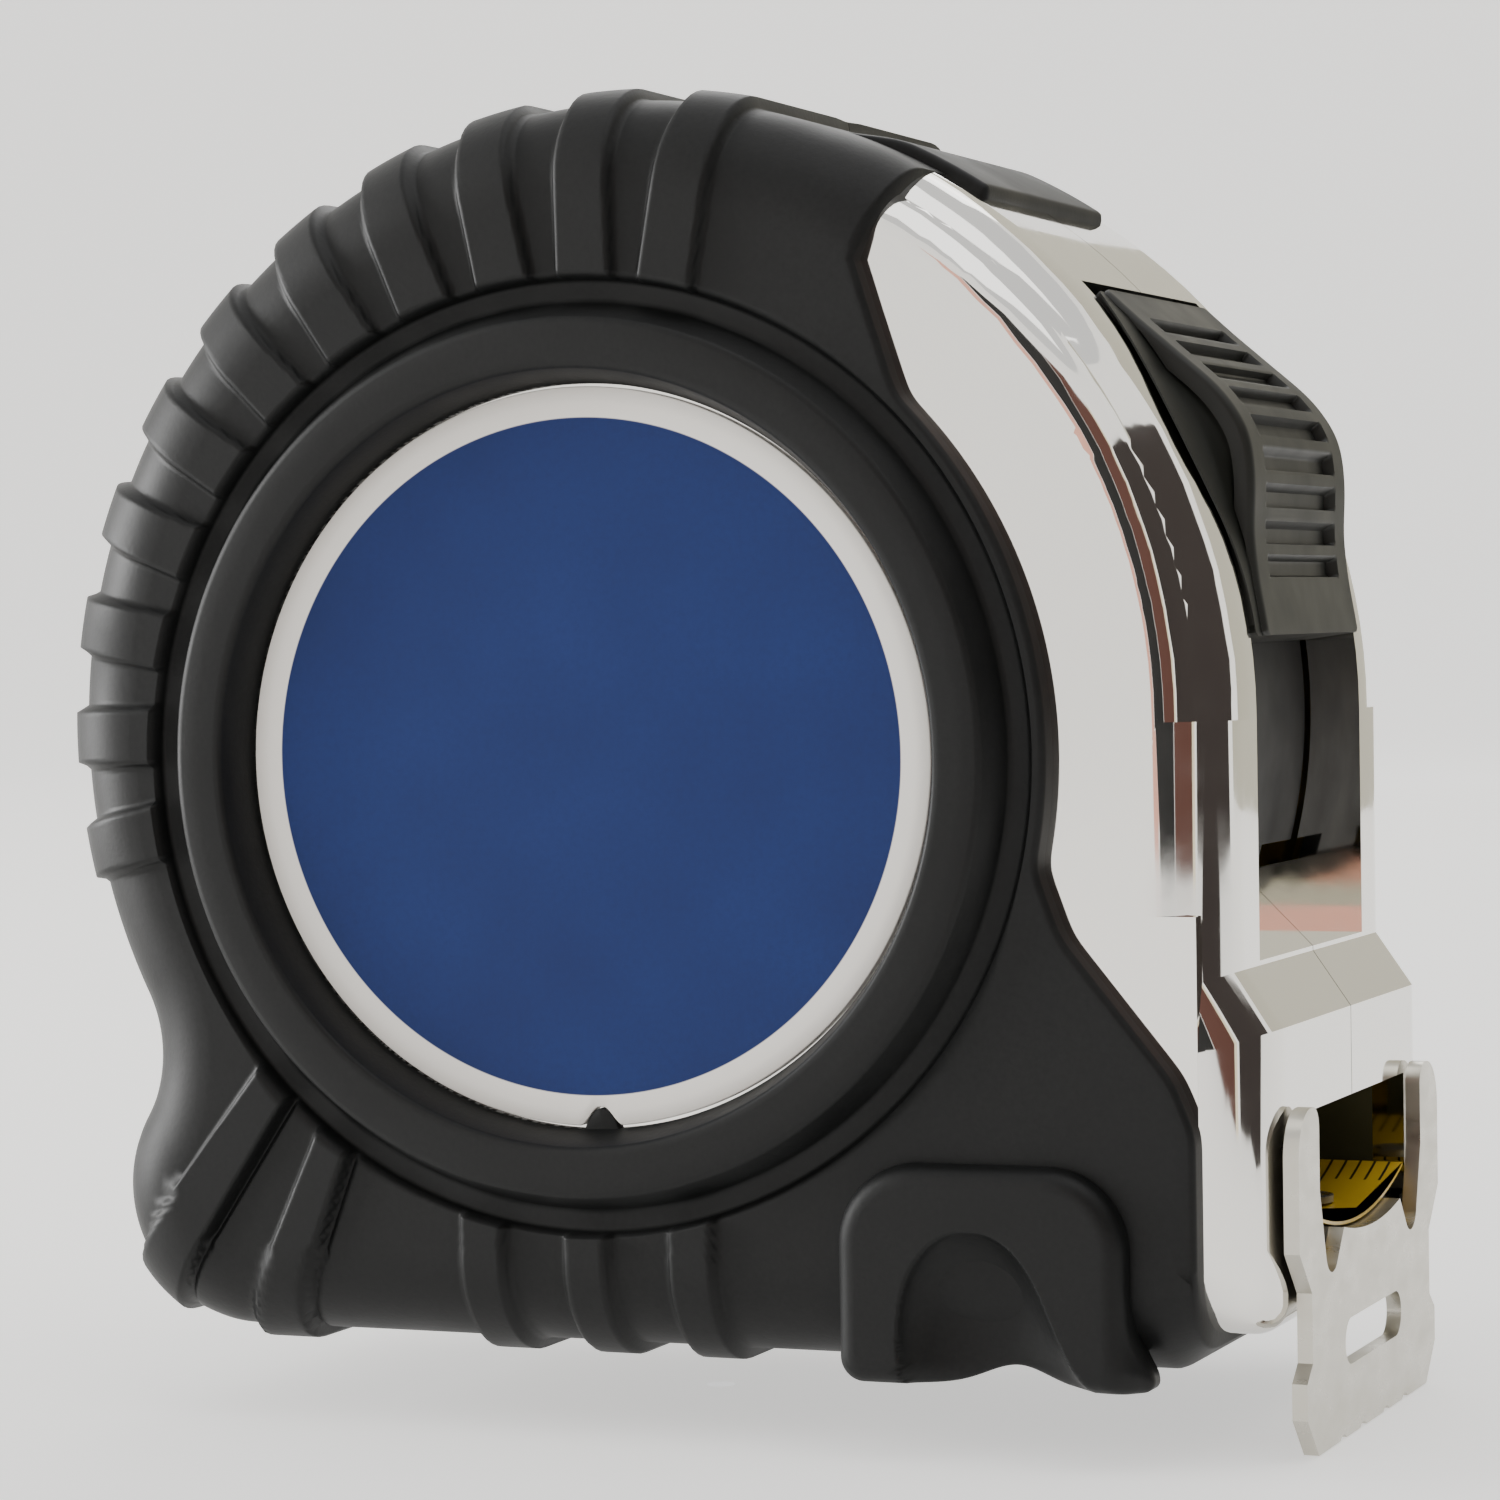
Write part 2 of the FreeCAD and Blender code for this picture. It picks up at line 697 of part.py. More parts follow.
def jacket_halves():
    """The two halves of the rubber jacket, ribbed over the back and under the base."""
    # each raised band: where its middle line starts, which way it runs, and its width
    places = []
    for step in range(11):
        angle = dim("rib_first") + dim("rib_pitch") * step
        places.append((*case_point(dim("band_start"), angle), angle, dim("rib_width")))
    places.append((dim("waist_band_x"), dim("waist_band_z"), dim("waist_band_angle"), dim("waist_band_width")))
    places.append((dim("heel_band_x"), dim("heel_band_z"), dim("heel_band_angle"), dim("heel_band_width")))
    for step in range(3):
        x = dim("sole_rib_first") + dim("sole_rib_pitch") * step
        places.append((x, dim("heel_band_z"), Size(270), dim("sole_rib_width")))
    bands = []
    for index, (x, z, angle, width) in enumerate(places):
        band = doc.addObject("Part::Box", f"band_{index}")
        bind(band, "Length", dim("band_reach"))
        bind(band, "Width", dim("jacket_half") + 1)
        bind(band, "Height", width)
        bind(band, "Placement.Base.x", x + width / 2 * sine(angle))
        bind(band, "Placement.Base.y", -dim("jacket_half") - 1)
        bind(band, "Placement.Base.z", z - width / 2 * cosine(angle))
        band.Placement.Rotation = FreeCAD.Rotation(FreeCAD.Vector(0, 1, 0), -angle.value)
        bands.append(band)
    ribs = common("ribs", jacket_blank("jacket_high", 0), fuse("bands", *bands))
    rim = turned("rim", [
        (dim("label_r") + dim("label_gap"), side_out - dim("label_thick")),
        (dim("rim_inner"), -dim("rim_half")),
        (dim("rim_outer"), -dim("rim_half")),
        (dim("rim_foot"), -dim("rim_groove")),
        (dim("rim_foot"), -15.0),
        (dim("label_r") + dim("label_gap"), -15.0),
    ])
    bumper = side_slab("bumper", [
        (dim("bumper_back"), base_z),
        (dim("bumper_front"), base_z),
        (dim("bumper_front"), dim("bumper_top") - dim("bumper_corner"), dim("bumper_corner")),
        (dim("bumper_front") - dim("bumper_corner"), dim("bumper_top")),
        (dim("bumper_back") + dim("bumper_corner"), dim("bumper_top"), dim("bumper_corner")),
        (dim("bumper_back"), dim("bumper_top") - dim("bumper_corner")),
    ], dim("bumper_depth"), dim("rim_half") - dim("bumper_depth"))
    fillet_edges(bumper, dim("bumper_round").value, lambda edge: lies_at_y(edge, -dim("rim_half").value))
    tab = side_slab("tab", [
        (*case_point(dim("jacket_r") - dim("tab_depth"), dim("tab_back")), dim("tab_depth") - dim("jacket_r")),
        case_point(dim("jacket_r") - dim("tab_depth"), dim("tab_angle")),
        (*case_point(dim("jacket_r"), dim("tab_angle")), dim("jacket_r")),
        case_point(dim("jacket_r"), dim("tab_back")),
    ], dim("tab_half"))
    scoop = doc.addObject("Part::Sphere", "scoop")
    bind(scoop, "Radius", dim("scoop_r"))
    bind(scoop, "Placement.Base.x", dim("scoop_x"))
    bind(scoop, "Placement.Base.y", -dim("rim_half") - dim("scoop_out"))
    bind(scoop, "Placement.Base.z", base_z + dim("scoop_lift"))
    body = fuse("jacket_body", jacket_blank("jacket_low", dim("rib_depth")), ribs, rim, bumper)
    grown = fuse("jacket_full", cut("jacket_open", body, window_cutter()), tab)
    hole = turned("label_hole", [
        (0, -40), (dim("rim_inner") + 2, -40), (dim("rim_inner") + 2, -dim("rim_half") - 1),
        (dim("rim_inner"), -dim("rim_half")),
        (dim("label_r") + dim("label_gap"), side_out - dim("label_thick")),
        (dim("label_r") + dim("label_gap"), -10), (0, -10),
    ])
    groove = turned("rim_groove", [
        (dim("rim_foot"), -dim("rim_groove")), (dim("rib_root"), -dim("rim_groove")),
        (dim("rib_root") + 1.2, -30), (dim("rim_foot") + 1.2, -30),
    ])
    left = cut("left_jacket", grown, doc.getObject("case_blank"), hole, groove, scoop)
    node(left, "left_rubber_jacket")
    holes = []
    for index, (x, z) in enumerate(screw_places()):
        holes.append(rod(f"jacket_hole_{index}", dim("screw_head_r") + dim("head_clear"), 10.0, 30.0, x, z))
    twin = doc.addObject("Part::Cut", "jacket_plain")
    twin.Base = grown
    twin.Tool = left.Tool
    right = cut("right_jacket", mirrored("right_plain", twin), *holes)
    node(right, "right_rubber_jacket")


label_face = dim("shell_half") + dim("label_thick")


def labels():
    """The round labels in the rims, each with an index notch at the bottom."""
    disc = rod("label_disc", dim("label_r"), -label_face, dim("label_thick"))
    foot = -dim("label_r")
    notch = rod("label_notch", dim("notch_r"), -label_face - 1, 2.0, dim("notch_x"), foot - dim("notch_r") / 4)
    hole = rod("label_nut_hole", dim("nut_r"), 15.0, 10.0, 0, dim("clip_screw_z"))
    node(cut("label_left", disc, notch), "left_label")
    twin = mirrored("label_twin", disc)
    node(cut("label_right", twin, mirrored("notch_twin", notch), hole), "right_label")


def mouth_parts():
    """The liner of the blade mouth and the rubber buffer that the hook lands on."""
    front = dim("block_x") - dim("block_wall")
    back = front - dim("guide_length")
    half = dim("mouth_half") + dim("guide_side")
    floor = dim("arc_z") - dim("cavity_r")
    outer = box("guide_outer", (back, -half, floor), (front, half, dim("mouth_top") + dim("guide_wall")))
    inner = box("guide_inner", (back - 1, -dim("mouth_half"), dim("mouth_floor")),
                (front + 1, dim("mouth_half"), dim("mouth_top")))
    node(cut("guide", outer, inner), "mouth_guide")
    buffer = box("buffer", (dim("block_x") - 1.0, -dim("buffer_half"), dim("buffer_low")),
                 (dim("block_x") + 0.15, dim("buffer_half"), dim("buffer_high")))
    node(group("buffer_piece", buffer), "hook_buffer")


def spool_parts():
    """The fixed post and liners, and the sprung spool that turns on the post."""
    depth = dim("cavity_half")
    post = rod("post_rod", dim("post_r"), -depth, depth * 2)
    slit = box("post_slit", (-0.5, -10.0, -5.0), (0.5, 10.0, 5.0))
    node(cut("post", post, slit), "centre_post")
    face = dim("blade_half") + dim("side_play")
    bore = dim("post_r") + dim("running")
    hole = rod("liner_hole", dim("post_r") + 0.5, -20.0, 40.0)
    for side, start in (("left", -face - dim("liner_thick")), ("right", face)):
        disc = rod(side + "_liner", dim("liner_r"), start, dim("liner_thick"))
        node(cut(side + "_liner_ring", disc, hole), side + "_liner_disc")
    width = dim("blade_half") + dim("drum_lip")
    floor = dim("drum_floor")
    inner = dim("drum_r") - dim("drum_wall")
    barrel = rod("drum_barrel", dim("drum_r"), -width, width * 2)
    pocket = rod("drum_pocket", inner, floor - width, width * 2)
    axle_hole = rod("drum_bore", bore, -20.0, 40.0)
    node(cut("drum", barrel, pocket, axle_hole), "spool_drum")
    lid = rod("lid_disc", inner, width - floor, floor)
    node(cut("lid", lid, rod("lid_bore", bore, 0, 20.0)), "spool_cover")
    spring = rod("spring_ring", inner - dim("spring_gap"), floor + 0.3 - width, (width - floor - 0.3) * 2)
    node(cut("spring", spring, rod("spring_eye", dim("post_r") + dim("spring_eye"), -20.0, 40.0)), "mainspring")
    coil = rod("coil_ring", dim("coil_r"), -dim("blade_half"), dim("blade_half") * 2)
    node(cut("coil", coil, rod("coil_eye", dim("drum_r"), -20.0, 40.0)), "blade_coil")


def cup_band(half, upper, lower):
    """The section of a cupped strip between two radii about the blade's cup centre."""
    centre = dim("blade_z") + dim("blade_cup")

    def height(radius):
        return centre - root(radius * radius - half * half)

    return [
        (-half, height(lower), lower),
        (half, height(lower)),
        (half, height(upper), -upper),
        (-half, height(upper)),
    ]


def rivet_places():
    """Centres of the hook rivets, as (x, y)."""
    front = dim("block_x") + dim("hook_gap")
    return [
        (front - dim("rivet_back"), Size(0)),
        (front - dim("rivet_front"), -dim("rivet_across")),
        (front - dim("rivet_front"), dim("rivet_across")),
    ]


def blade_parts():
    """The straight end of the blade, with the rivets that hold the hook."""
    back = dim("blade_back")
    front = dim("block_x") + dim("hook_gap") - 0.1
    thick = dim("blade_thick") / 2
    band = cup_band(dim("blade_half"), dim("blade_cup") - thick, dim("blade_cup") + thick)
    strip = front_slab("strip", band, front - back, back)
    holes = []
    rivets = []
    head_top = dim("blade_z") - thick - dim("tab_gap") - dim("hook_thick") - 0.1
    for index, (x, y) in enumerate(rivet_places()):
        shank = upright(f"rivet_shank_{index}", dim("rivet_r"), x, y, head_top - 0.5, dim("blade_z") + 0.6)
        upper = upright(f"rivet_top_{index}", dim("rivet_head_r"), x, y, dim("blade_z") + 0.45, dim("blade_z") + 0.9)
        lower = upright(f"rivet_foot_{index}", dim("rivet_foot_r"), x, y, head_top - 0.5, head_top)
        rivets.append(fuse(f"rivet_{index}", shank, upper, lower))
        holes.append(upright(f"rivet_hole_{index}", dim("rivet_r"), x, y, -40.0, -20.0))
    node(cut("blade", strip, *holes), "blade_strip")
    node(group("rivets", *rivets), "hook_rivets")


def end_hook():
    """The stamped hook: a plate with two prongs, and a cupped tab under the blade."""
    back = dim("block_x") + dim("hook_gap")
    upper = dim("blade_cup") + dim("blade_thick") / 2 + dim("tab_gap")
    lower = upper + dim("hook_thick")
    tab_half = dim("tab_width")
    crest = dim("blade_z") + dim("blade_cup") - root(upper * upper - tab_half * tab_half)
    bottom = dim("hook_bottom")
    top = dim("hook_top")
    prong = dim("hook_half")
    throat = dim("throat_half")
    right = [
        (dim("foot_half") - dim("foot_chamfer"), bottom),
        (dim("foot_half"), bottom + dim("foot_chamfer")),
        (dim("foot_half"), bottom + dim("foot_high")),
        (dim("waist_half"), bottom + dim("waist_low")),
        (dim("waist_half"), bottom + dim("waist_high")),
        (prong, bottom + dim("prong_low")),
        (prong, top - dim("prong_round"), dim("prong_round")),
        (prong - dim("prong_round"), top),
        (throat + dim("throat_round"), top, dim("throat_round")),
        (throat, top - dim("throat_round")),
        (throat, top - dim("throat_drop")),
        (throat - dim("throat_round"), top - dim("root_drop"), -dim("throat_fillet")),
        (tab_half + dim("shoulder_out"), top - dim("shoulder_drop")),
    ]
    left = []
    for index in range(len(right) - 1, -1, -1):
        across, up = right[index][:2]
        before = right[index - 1] if index > 0 else ()
        left.append((-across, up, before[2]) if len(before) == 3 else (-across, up))
    plate = front_slab("hook_plate", right + [(tab_half, crest, -upper), (-tab_half, crest)] + left,
                       dim("hook_thick"), back)
    tab = front_slab("hook_tab", cup_band(tab_half, upper, lower), dim("tab_length") + 0.5,
                     back - dim("tab_length"))
    cuts = []
    for index, (x, y) in enumerate(rivet_places()):
        clear = dim("rivet_r") + dim("rivet_clear")
        cuts.append(box(f"hook_slot_{index}", (x - dim("hook_float"), y - clear, -40.0), (x, y + clear, -20.0)))
        cuts.append(upright(f"slot_front_{index}", clear, x, y, -40.0, -20.0))
        cuts.append(upright(f"slot_back_{index}", clear, x - dim("hook_float"), y, -40.0, -20.0))
    nail = dim("nail_half") - dim("nail_r")
    cuts.append(box("nail_middle", (back - 1, -nail, dim("nail_z") - dim("nail_r")),
                    (back + 3, nail, dim("nail_z") + dim("nail_r"))))
    cuts.append(level("nail_left", dim("nail_r"), back - 1, -nail, dim("nail_z"), 4.0))
    cuts.append(level("nail_right", dim("nail_r"), back - 1, nail, dim("nail_z"), 4.0))
    for index, across in enumerate((-8.0, -3.0, 3.0, 8.0)):
        cuts.append(level(f"scallop_{index}", dim("scallop_r"), back - 1, across, bottom - dim("scallop_sink"), 4.0))
    node(cut("hook", fuse("hook_bent", plate, tab), *cuts), "end_hook")


def radial_section(name, angle, corners):
    """A closed section in the plane through the case arc's axis at this angle."""
    sketch = doc.addObject("Sketcher::SketchObject", name)
    sketch.Placement.Rotation = FreeCAD.Rotation(FreeCAD.Vector(0, 1, 0), -as_size(angle).value)
    bind(sketch, "Placement.Base.x", dim("arc_x"))
    bind(sketch, "Placement.Base.z", dim("arc_z"))
    outline(sketch, corners)
    return sketch


def lock_parts():
    """The thumb lock: a wave-shaped slider, its tongue inside the case, and a brake pad."""
    under = dim("cavity_r") - dim("lock_gap")
    half = dim("slot_half") - dim("lock_gap")
    low = dim("lock_low")
    high = dim("lock_high")
    peak = dim("lock_peak")
    brim = dim("front_r") + dim("lock_gap")
    seat = under + dim("lock_seat")
    # stations along the lock: how far along, height below the peak, how far the skirt spreads
    stations = [(0.0, 2.7, 0.0), (0.13, 2.7, 0.2), (0.26, 2.3, 1.2), (0.38, 1.0, 2.4), (0.5, 0.1, 3.1),
                (0.62, 0.5, 3.1), (0.76, 1.7, 2.3), (0.9, 2.5, 1.0), (1.0, 2.8, 0.0)]
    sections = []
    for index, (along, drop, spread) in enumerate(stations):
        crown = peak - drop
        skirt = half + spread
        shoulder = half - dim("lock_shoulder")
        middle = brim + (crown - brim) * 0.45
        corners = [
            (seat, -half), (brim, -half), (brim + 0.01, -skirt), (middle, -half - 0.35 * spread),
            (crown, -shoulder), (crown, shoulder), (middle, half + 0.35 * spread), (brim + 0.01, skirt),
            (brim, half), (seat, half),
        ]
        sections.append(radial_section(f"lock_section_{index}", low + (high - low) * along, corners))
    body = doc.addObject("Part::Loft", "lock_loft")
    body.Sections = sections
    body.Solid = True
    body.Ruled = True
    grooves = []
    for step in range(9):
        along = dim("groove_first").value + dim("groove_pitch").value * step
        after = next(i for i, station in enumerate(stations) if station[0] > along)
        (first, first_drop, _), (last, last_drop, _) = stations[after - 1], stations[after]
        drop = first_drop + (last_drop - first_drop) * (along - first) / (last - first)
        x, z = case_point(peak - drop + 0.1, low + (high - low) * along)
        grooves.append(rod(f"groove_{step}", dim("groove_r"), -dim("groove_half"), dim("groove_half") * 2, x, z))
    node(cut("slider", body, *grooves), "lock_slider")
    inner = under - dim("tongue_thick")
    wide_end = dim("tongue_wide_end")
    wide = side_slab("tongue_wide", [
        (*case_point(inner, high), -inner), case_point(inner, wide_end),
        (*case_point(under, wide_end), under), case_point(under, high),
    ], (half - dim("tongue_gap")) * 2, dim("tongue_gap") - half)
    narrow = side_slab("tongue_narrow", [
        (*case_point(inner, wide_end), -inner), case_point(inner, -dim("tip_angle")),
        (*case_point(under, -dim("tip_angle")), under), case_point(under, wide_end),
    ], dim("tip_half") * 2, -dim("tip_half"))
    node(fuse("tongue", wide, narrow), "lock_tongue")
    end = -dim("tip_angle") - dim("pad_angle")
    pad_piece = side_slab("pad_piece", [
        (*case_point(inner, -dim("tip_angle")), -inner), case_point(inner, end),
        (*case_point(under, end), under), case_point(under, -dim("tip_angle")),
    ], dim("tip_half") * 2, -dim("tip_half"))
    node(pad_piece, "brake_pad")


def clip_parts():
    """The belt clip: a base under a screw, and a sprung leg folded over it."""
    half = dim("clip_half")
    thick = dim("clip_thick")
    low = label_face + dim("clip_lift")
    fold = low + thick / 2 + dim("clip_bend")
    inner = dim("clip_bend") - thick / 2
    outer = dim("clip_bend") + thick / 2
    top = dim("clip_top")
    plate = box("clip_plate", (-half, low, dim("clip_foot")), (half, low + thick, top - dim("clip_gap")))
    hole = rod("clip_hole", dim("clip_screw_r") + 0.2, 15.0, 15.0, 0, dim("clip_screw_z"))
    node(cut("clip_base_cut", plate, hole), "clip_base")
    far = fold + inner
    tip = dim("clip_tip")
    straight = dim("clip_straight")
    bend = dim("clip_pinch_z")
    kick = dim("clip_pinch")
    flare = dim("clip_flare")
    leg = front_slab("leg", [
        (far + thick, top, outer + 0.0), (fold, top + outer, outer + 0.0), (fold - outer, top),
        (fold - inner, top, -inner), (fold, top + inner, -inner), (far, top),
        (far, tip + straight), (far - kick, tip + bend), (far - flare, tip),
        (far + thick - flare, tip - flare), (far + thick - kick, tip + bend), (far + thick, tip + straight - flare),
    ], half * 2, -half)
    node(leg, "clip_leg")
    insert = rod("nut_body", dim("nut_r"), dim("shell_half") - dim("nut_depth"), low - dim("shell_half") + dim("nut_depth"), 0, dim("clip_screw_z"))
    thread = rod("nut_thread", dim("clip_screw_r"), 10.0, 20.0, 0, dim("clip_screw_z"))
    node(cut("nut", insert, thread), "clip_nut")
    head = rod("clip_head", dim("screw_head_r"), low + thick, dim("screw_head"), 0, dim("clip_screw_z"))
    shank = rod("clip_shank", dim("clip_screw_r"), dim("shell_half") - dim("nut_depth"),
                low + thick - dim("shell_half") + 5.0, 0, dim("clip_screw_z"))
    drive = hex_drive("clip_drive", low + thick + dim("screw_head"), 0, dim("clip_screw_z"))
    node(cut("clip_bolt", fuse("clip_bolt_body", head, shank), drive), "clip_screw")


def hex_drive(name, face, x, z):
    """A six-sided socket sunk from a screw head's face."""
    socket = doc.addObject("Part::Prism", name)
    socket.Polygon = 6
    socket.Placement.Rotation = FreeCAD.Rotation(FreeCAD.Vector(1, 0, 0), -90)
    bind(socket, "Circumradius", dim("hex_r"))
    bind(socket, "Height", 3.0)
    bind(socket, "Placement.Base.x", x)
    bind(socket, "Placement.Base.y", as_size(face) - dim("hex_depth"))
    bind(socket, "Placement.Base.z", z)
    return socket


def case_screws():
    """The screws that hold the halves together, in from the clip side."""
    face = dim("shell_half") - dim("head_depth")
    screws = []
    for index, (x, z) in enumerate(screw_places()):
        head = rod(f"screw_head_{index}", dim("screw_head_r"), face, dim("screw_head"), x, z)
        shank = rod(f"screw_shank_{index}", dim("screw_r"), 0.5 - dim("screw_length"), face + dim("screw_length"), x, z)
        drive = hex_drive(f"screw_drive_{index}", face + dim("screw_head"), x, z)
        screws.append(cut(f"screw_{index}", fuse(f"screw_body_{index}", head, shank), drive))
    node(group("screws", *screws), "case_screws")


shell_halves()
jacket_halves()
labels()
mouth_parts()
spool_parts()
blade_parts()
end_hook()
lock_parts()
clip_parts()
case_screws()

doc.recompute()

failed = [thing.Label for thing in doc.Objects if "Invalid" in thing.State or "Error" in thing.State]
bad = [thing.Label for thing in nodes if thing.Shape.isNull() or not thing.Shape.isValid()]
if failed or bad:
    raise RuntimeError(f"failed: {failed}, not valid: {bad}")

os.makedirs("parts", exist_ok=True)
for thing in nodes:
    thing.Shape.exportStep(os.path.join("parts", thing.Label + ".step"))
    print(thing.Label, len(thing.Shape.Solids), round(thing.Shape.Volume, 1))
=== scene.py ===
import logging
import math
from dataclasses import dataclass, field
from enum import Enum

import bmesh
import bpy
import numpy as np
from mathutils import Matrix


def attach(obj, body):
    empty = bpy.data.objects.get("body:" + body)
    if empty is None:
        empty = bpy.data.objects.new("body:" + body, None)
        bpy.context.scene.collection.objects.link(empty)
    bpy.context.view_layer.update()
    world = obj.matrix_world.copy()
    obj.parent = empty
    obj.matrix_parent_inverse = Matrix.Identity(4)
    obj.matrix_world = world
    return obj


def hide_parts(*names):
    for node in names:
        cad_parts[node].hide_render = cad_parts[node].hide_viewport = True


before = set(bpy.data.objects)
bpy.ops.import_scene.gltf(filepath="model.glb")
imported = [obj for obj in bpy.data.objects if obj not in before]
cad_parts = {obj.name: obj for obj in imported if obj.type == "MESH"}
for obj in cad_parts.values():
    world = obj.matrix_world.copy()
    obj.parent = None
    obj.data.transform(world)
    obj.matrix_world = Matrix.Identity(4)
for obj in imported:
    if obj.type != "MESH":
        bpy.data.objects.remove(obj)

logging.basicConfig(level=logging.INFO, format="%(message)s")
log = logging.getLogger("tape_measure")

MM = 0.001
AXLE_HEIGHT = 39.5
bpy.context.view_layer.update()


class Side(Enum):
    """Which half of the case a piece belongs to: the label side or the clip side."""

    LABEL = -1
    CLIP = 1


class Body(Enum):
    """The moving bodies of the frame."""

    CASE = "case"
    SPOOL = "spool"
    BLADE = "blade"
    HOOK = "hook"
    LOCK = "lock"
    CLIP = "clip"


# ---------------------------------------------------------------- small helpers


def linear(code: str) -> tuple[float, float, float, float]:
    """Turn an sRGB hex colour into linear RGBA.

    Args:
        code: six hex digits after a hash.

    Returns:
        The linear colour with an alpha of one.
    """
    parts = [int(code[i:i + 2], 16) / 255 for i in (1, 3, 5)]
    curve = [c / 12.92 if c <= 0.04045 else ((c + 0.055) / 1.055) ** 2.4 for c in parts]
    return (*curve, 1.0)


def smoothstep(value: np.ndarray) -> np.ndarray:
    """The cubic 3t^2 - 2t^3 of a value clipped to 0..1."""
    t = np.clip(value, 0.0, 1.0)
    return t * t * (3 - 2 * t)


def grid_faces(rows: int, columns: int, wrap_rows: bool, wrap_columns: bool) -> np.ndarray:
    """Quads of a grid whose vertex (i, j) has index i * columns + j.

    Args:
        rows: number of rows.
        columns: number of columns.
        wrap_rows: whether the last row joins the first.
        wrap_columns: whether the last column joins the first.

    Returns:
        An (n, 4) array of vertex indices.
    """
    row_starts, column_starts = np.arange(rows - (not wrap_rows)), np.arange(columns - (not wrap_columns))
    i, j = np.meshgrid(row_starts, column_starts, indexing="ij")
    after_i, after_j = (i + 1) % rows, (j + 1) % columns
    quads = [i * columns + j, i * columns + after_j, after_i * columns + after_j, after_i * columns + j]
    return np.stack([q.ravel() for q in quads], axis=1)


def capped_tube(rings: np.ndarray) -> tuple[np.ndarray, np.ndarray]:
    """Close a stack of closed rings with one pole at each end.

    Args:
        rings: (n, m, 3) points; each ring is closed.

    Returns:
        The vertices and quads, with each pole repeated so that merging closes it.
    """
    first = np.repeat(rings[:1].mean(axis=1, keepdims=True), rings.shape[1], axis=1)
    last = np.repeat(rings[-1:].mean(axis=1, keepdims=True), rings.shape[1], axis=1)
    stack = np.concatenate([first, rings, last])
    return stack.reshape(-1, 3), grid_faces(stack.shape[0], stack.shape[1], False, True)


def resample(path: np.ndarray, step: float) -> np.ndarray:
    """Points at an even spacing along a polyline."""
    lengths = np.concatenate([[0.0], np.cumsum(np.linalg.norm(np.diff(path, axis=0), axis=1))])
    stations = np.linspace(0.0, lengths[-1], max(int(lengths[-1] / step), 2) + 1)
    return np.stack([np.interp(stations, lengths, path[:, k]) for k in range(path.shape[1])], axis=1)


def relaxed(path: np.ndarray, passes: int) -> np.ndarray:
    """Round a polyline's corners: each pass moves every inner point to (a + 2b + c) / 4."""
    path = path.copy()
    for _ in range(passes):
        path[1:-1] = (path[:-2] + 2 * path[1:-1] + path[2:]) / 4
    return path


def path_normals(path: np.ndarray) -> np.ndarray:
    """Unit normals on the right-hand side of a plane path."""
    tangent = np.gradient(path, axis=0)
    tangent /= np.linalg.norm(tangent, axis=1, keepdims=True)
    return np.stack([tangent[:, 1], -tangent[:, 0]], axis=1)


def new_piece(
    name: str, points: np.ndarray, faces: np.ndarray, crease_deg: float = 180.0
) -> bpy.types.Object:
    """Make a closed piece from points about the axle, in mm, with its faces outwards.

    Args:
        name: the piece's name.
        points: (n, 3) points; doubles are merged.
        faces: (m, 4) or (m, 3) vertex indices.
        crease_deg: edges sharper than this stay sharp in the shading.

    Returns:
        The linked object, at the origin.
    """
    mesh = bpy.data.meshes.new(name)
    placed = (np.asarray(points, float) + (0.0, 0.0, AXLE_HEIGHT)) * MM
    mesh.from_pydata(placed.tolist(), [], np.asarray(faces).tolist())
    shell = bmesh.new()
    shell.from_mesh(mesh)
    bmesh.ops.remove_doubles(shell, verts=shell.verts, dist=2e-6)
    bmesh.ops.dissolve_degenerate(shell, edges=shell.edges, dist=1e-7)
    bmesh.ops.recalc_face_normals(shell, faces=shell.faces)
    shell.to_mesh(mesh)
    shell.free()
    mesh.polygons.foreach_set("use_smooth", np.ones(len(mesh.polygons), bool))
    if crease_deg < 180:
        mesh.set_sharp_from_angle(angle=math.radians(crease_deg))
    piece = bpy.data.objects.new(name, mesh)
    bpy.context.scene.collection.objects.link(piece)
    return piece


def settle(
    piece: bpy.types.Object, body: Body, finish: bpy.types.Material, slot: str, *nodes: str
) -> bpy.types.Object:
    """Dress a piece, let it ride on its body, hide the CAD nodes that it replaces, and log it.

    Args:
        piece: the object.
        body: the body that it moves with.
        finish: its material.
        slot: a material slot name; not used.
        nodes: CAD nodes that it replaces.

    Returns:
        The same object.
    """
    piece.data.materials.clear()
    piece.data.materials.append(finish)
    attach(piece, body.value)
    if nodes:
        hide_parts(*nodes)
    log.info("%s: %d faces on %s", piece.name, len(piece.data.polygons), body.value)
    return piece


def copy_of_node(name: str, node: str, crease_deg: float = 28.0) -> bpy.types.Object:
    """A merged, smooth-shaded copy of a CAD node, for parts whose shape the CAD gives exactly."""
    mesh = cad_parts[node].data.copy()
    for stale in ("custom_normal", "sharp_edge", "sharp_face"):
        if stale in mesh.attributes:
            mesh.attributes.remove(mesh.attributes[stale])
    shell = bmesh.new()
    shell.from_mesh(mesh)
    bmesh.ops.remove_doubles(shell, verts=shell.verts, dist=2e-6)
    bmesh.ops.recalc_face_normals(shell, faces=shell.faces)
    shell.to_mesh(mesh)
    shell.free()
    mesh.name = name
    mesh.polygons.foreach_set("use_smooth", np.ones(len(mesh.polygons), bool))
    mesh.set_sharp_from_angle(angle=math.radians(crease_deg))
    piece = bpy.data.objects.new(name, mesh)
    bpy.context.scene.collection.objects.link(piece)
    weights = piece.modifiers.new("even_shading", "WEIGHTED_NORMAL")
    weights.keep_sharp = True
    weights.weight = 90
    return piece


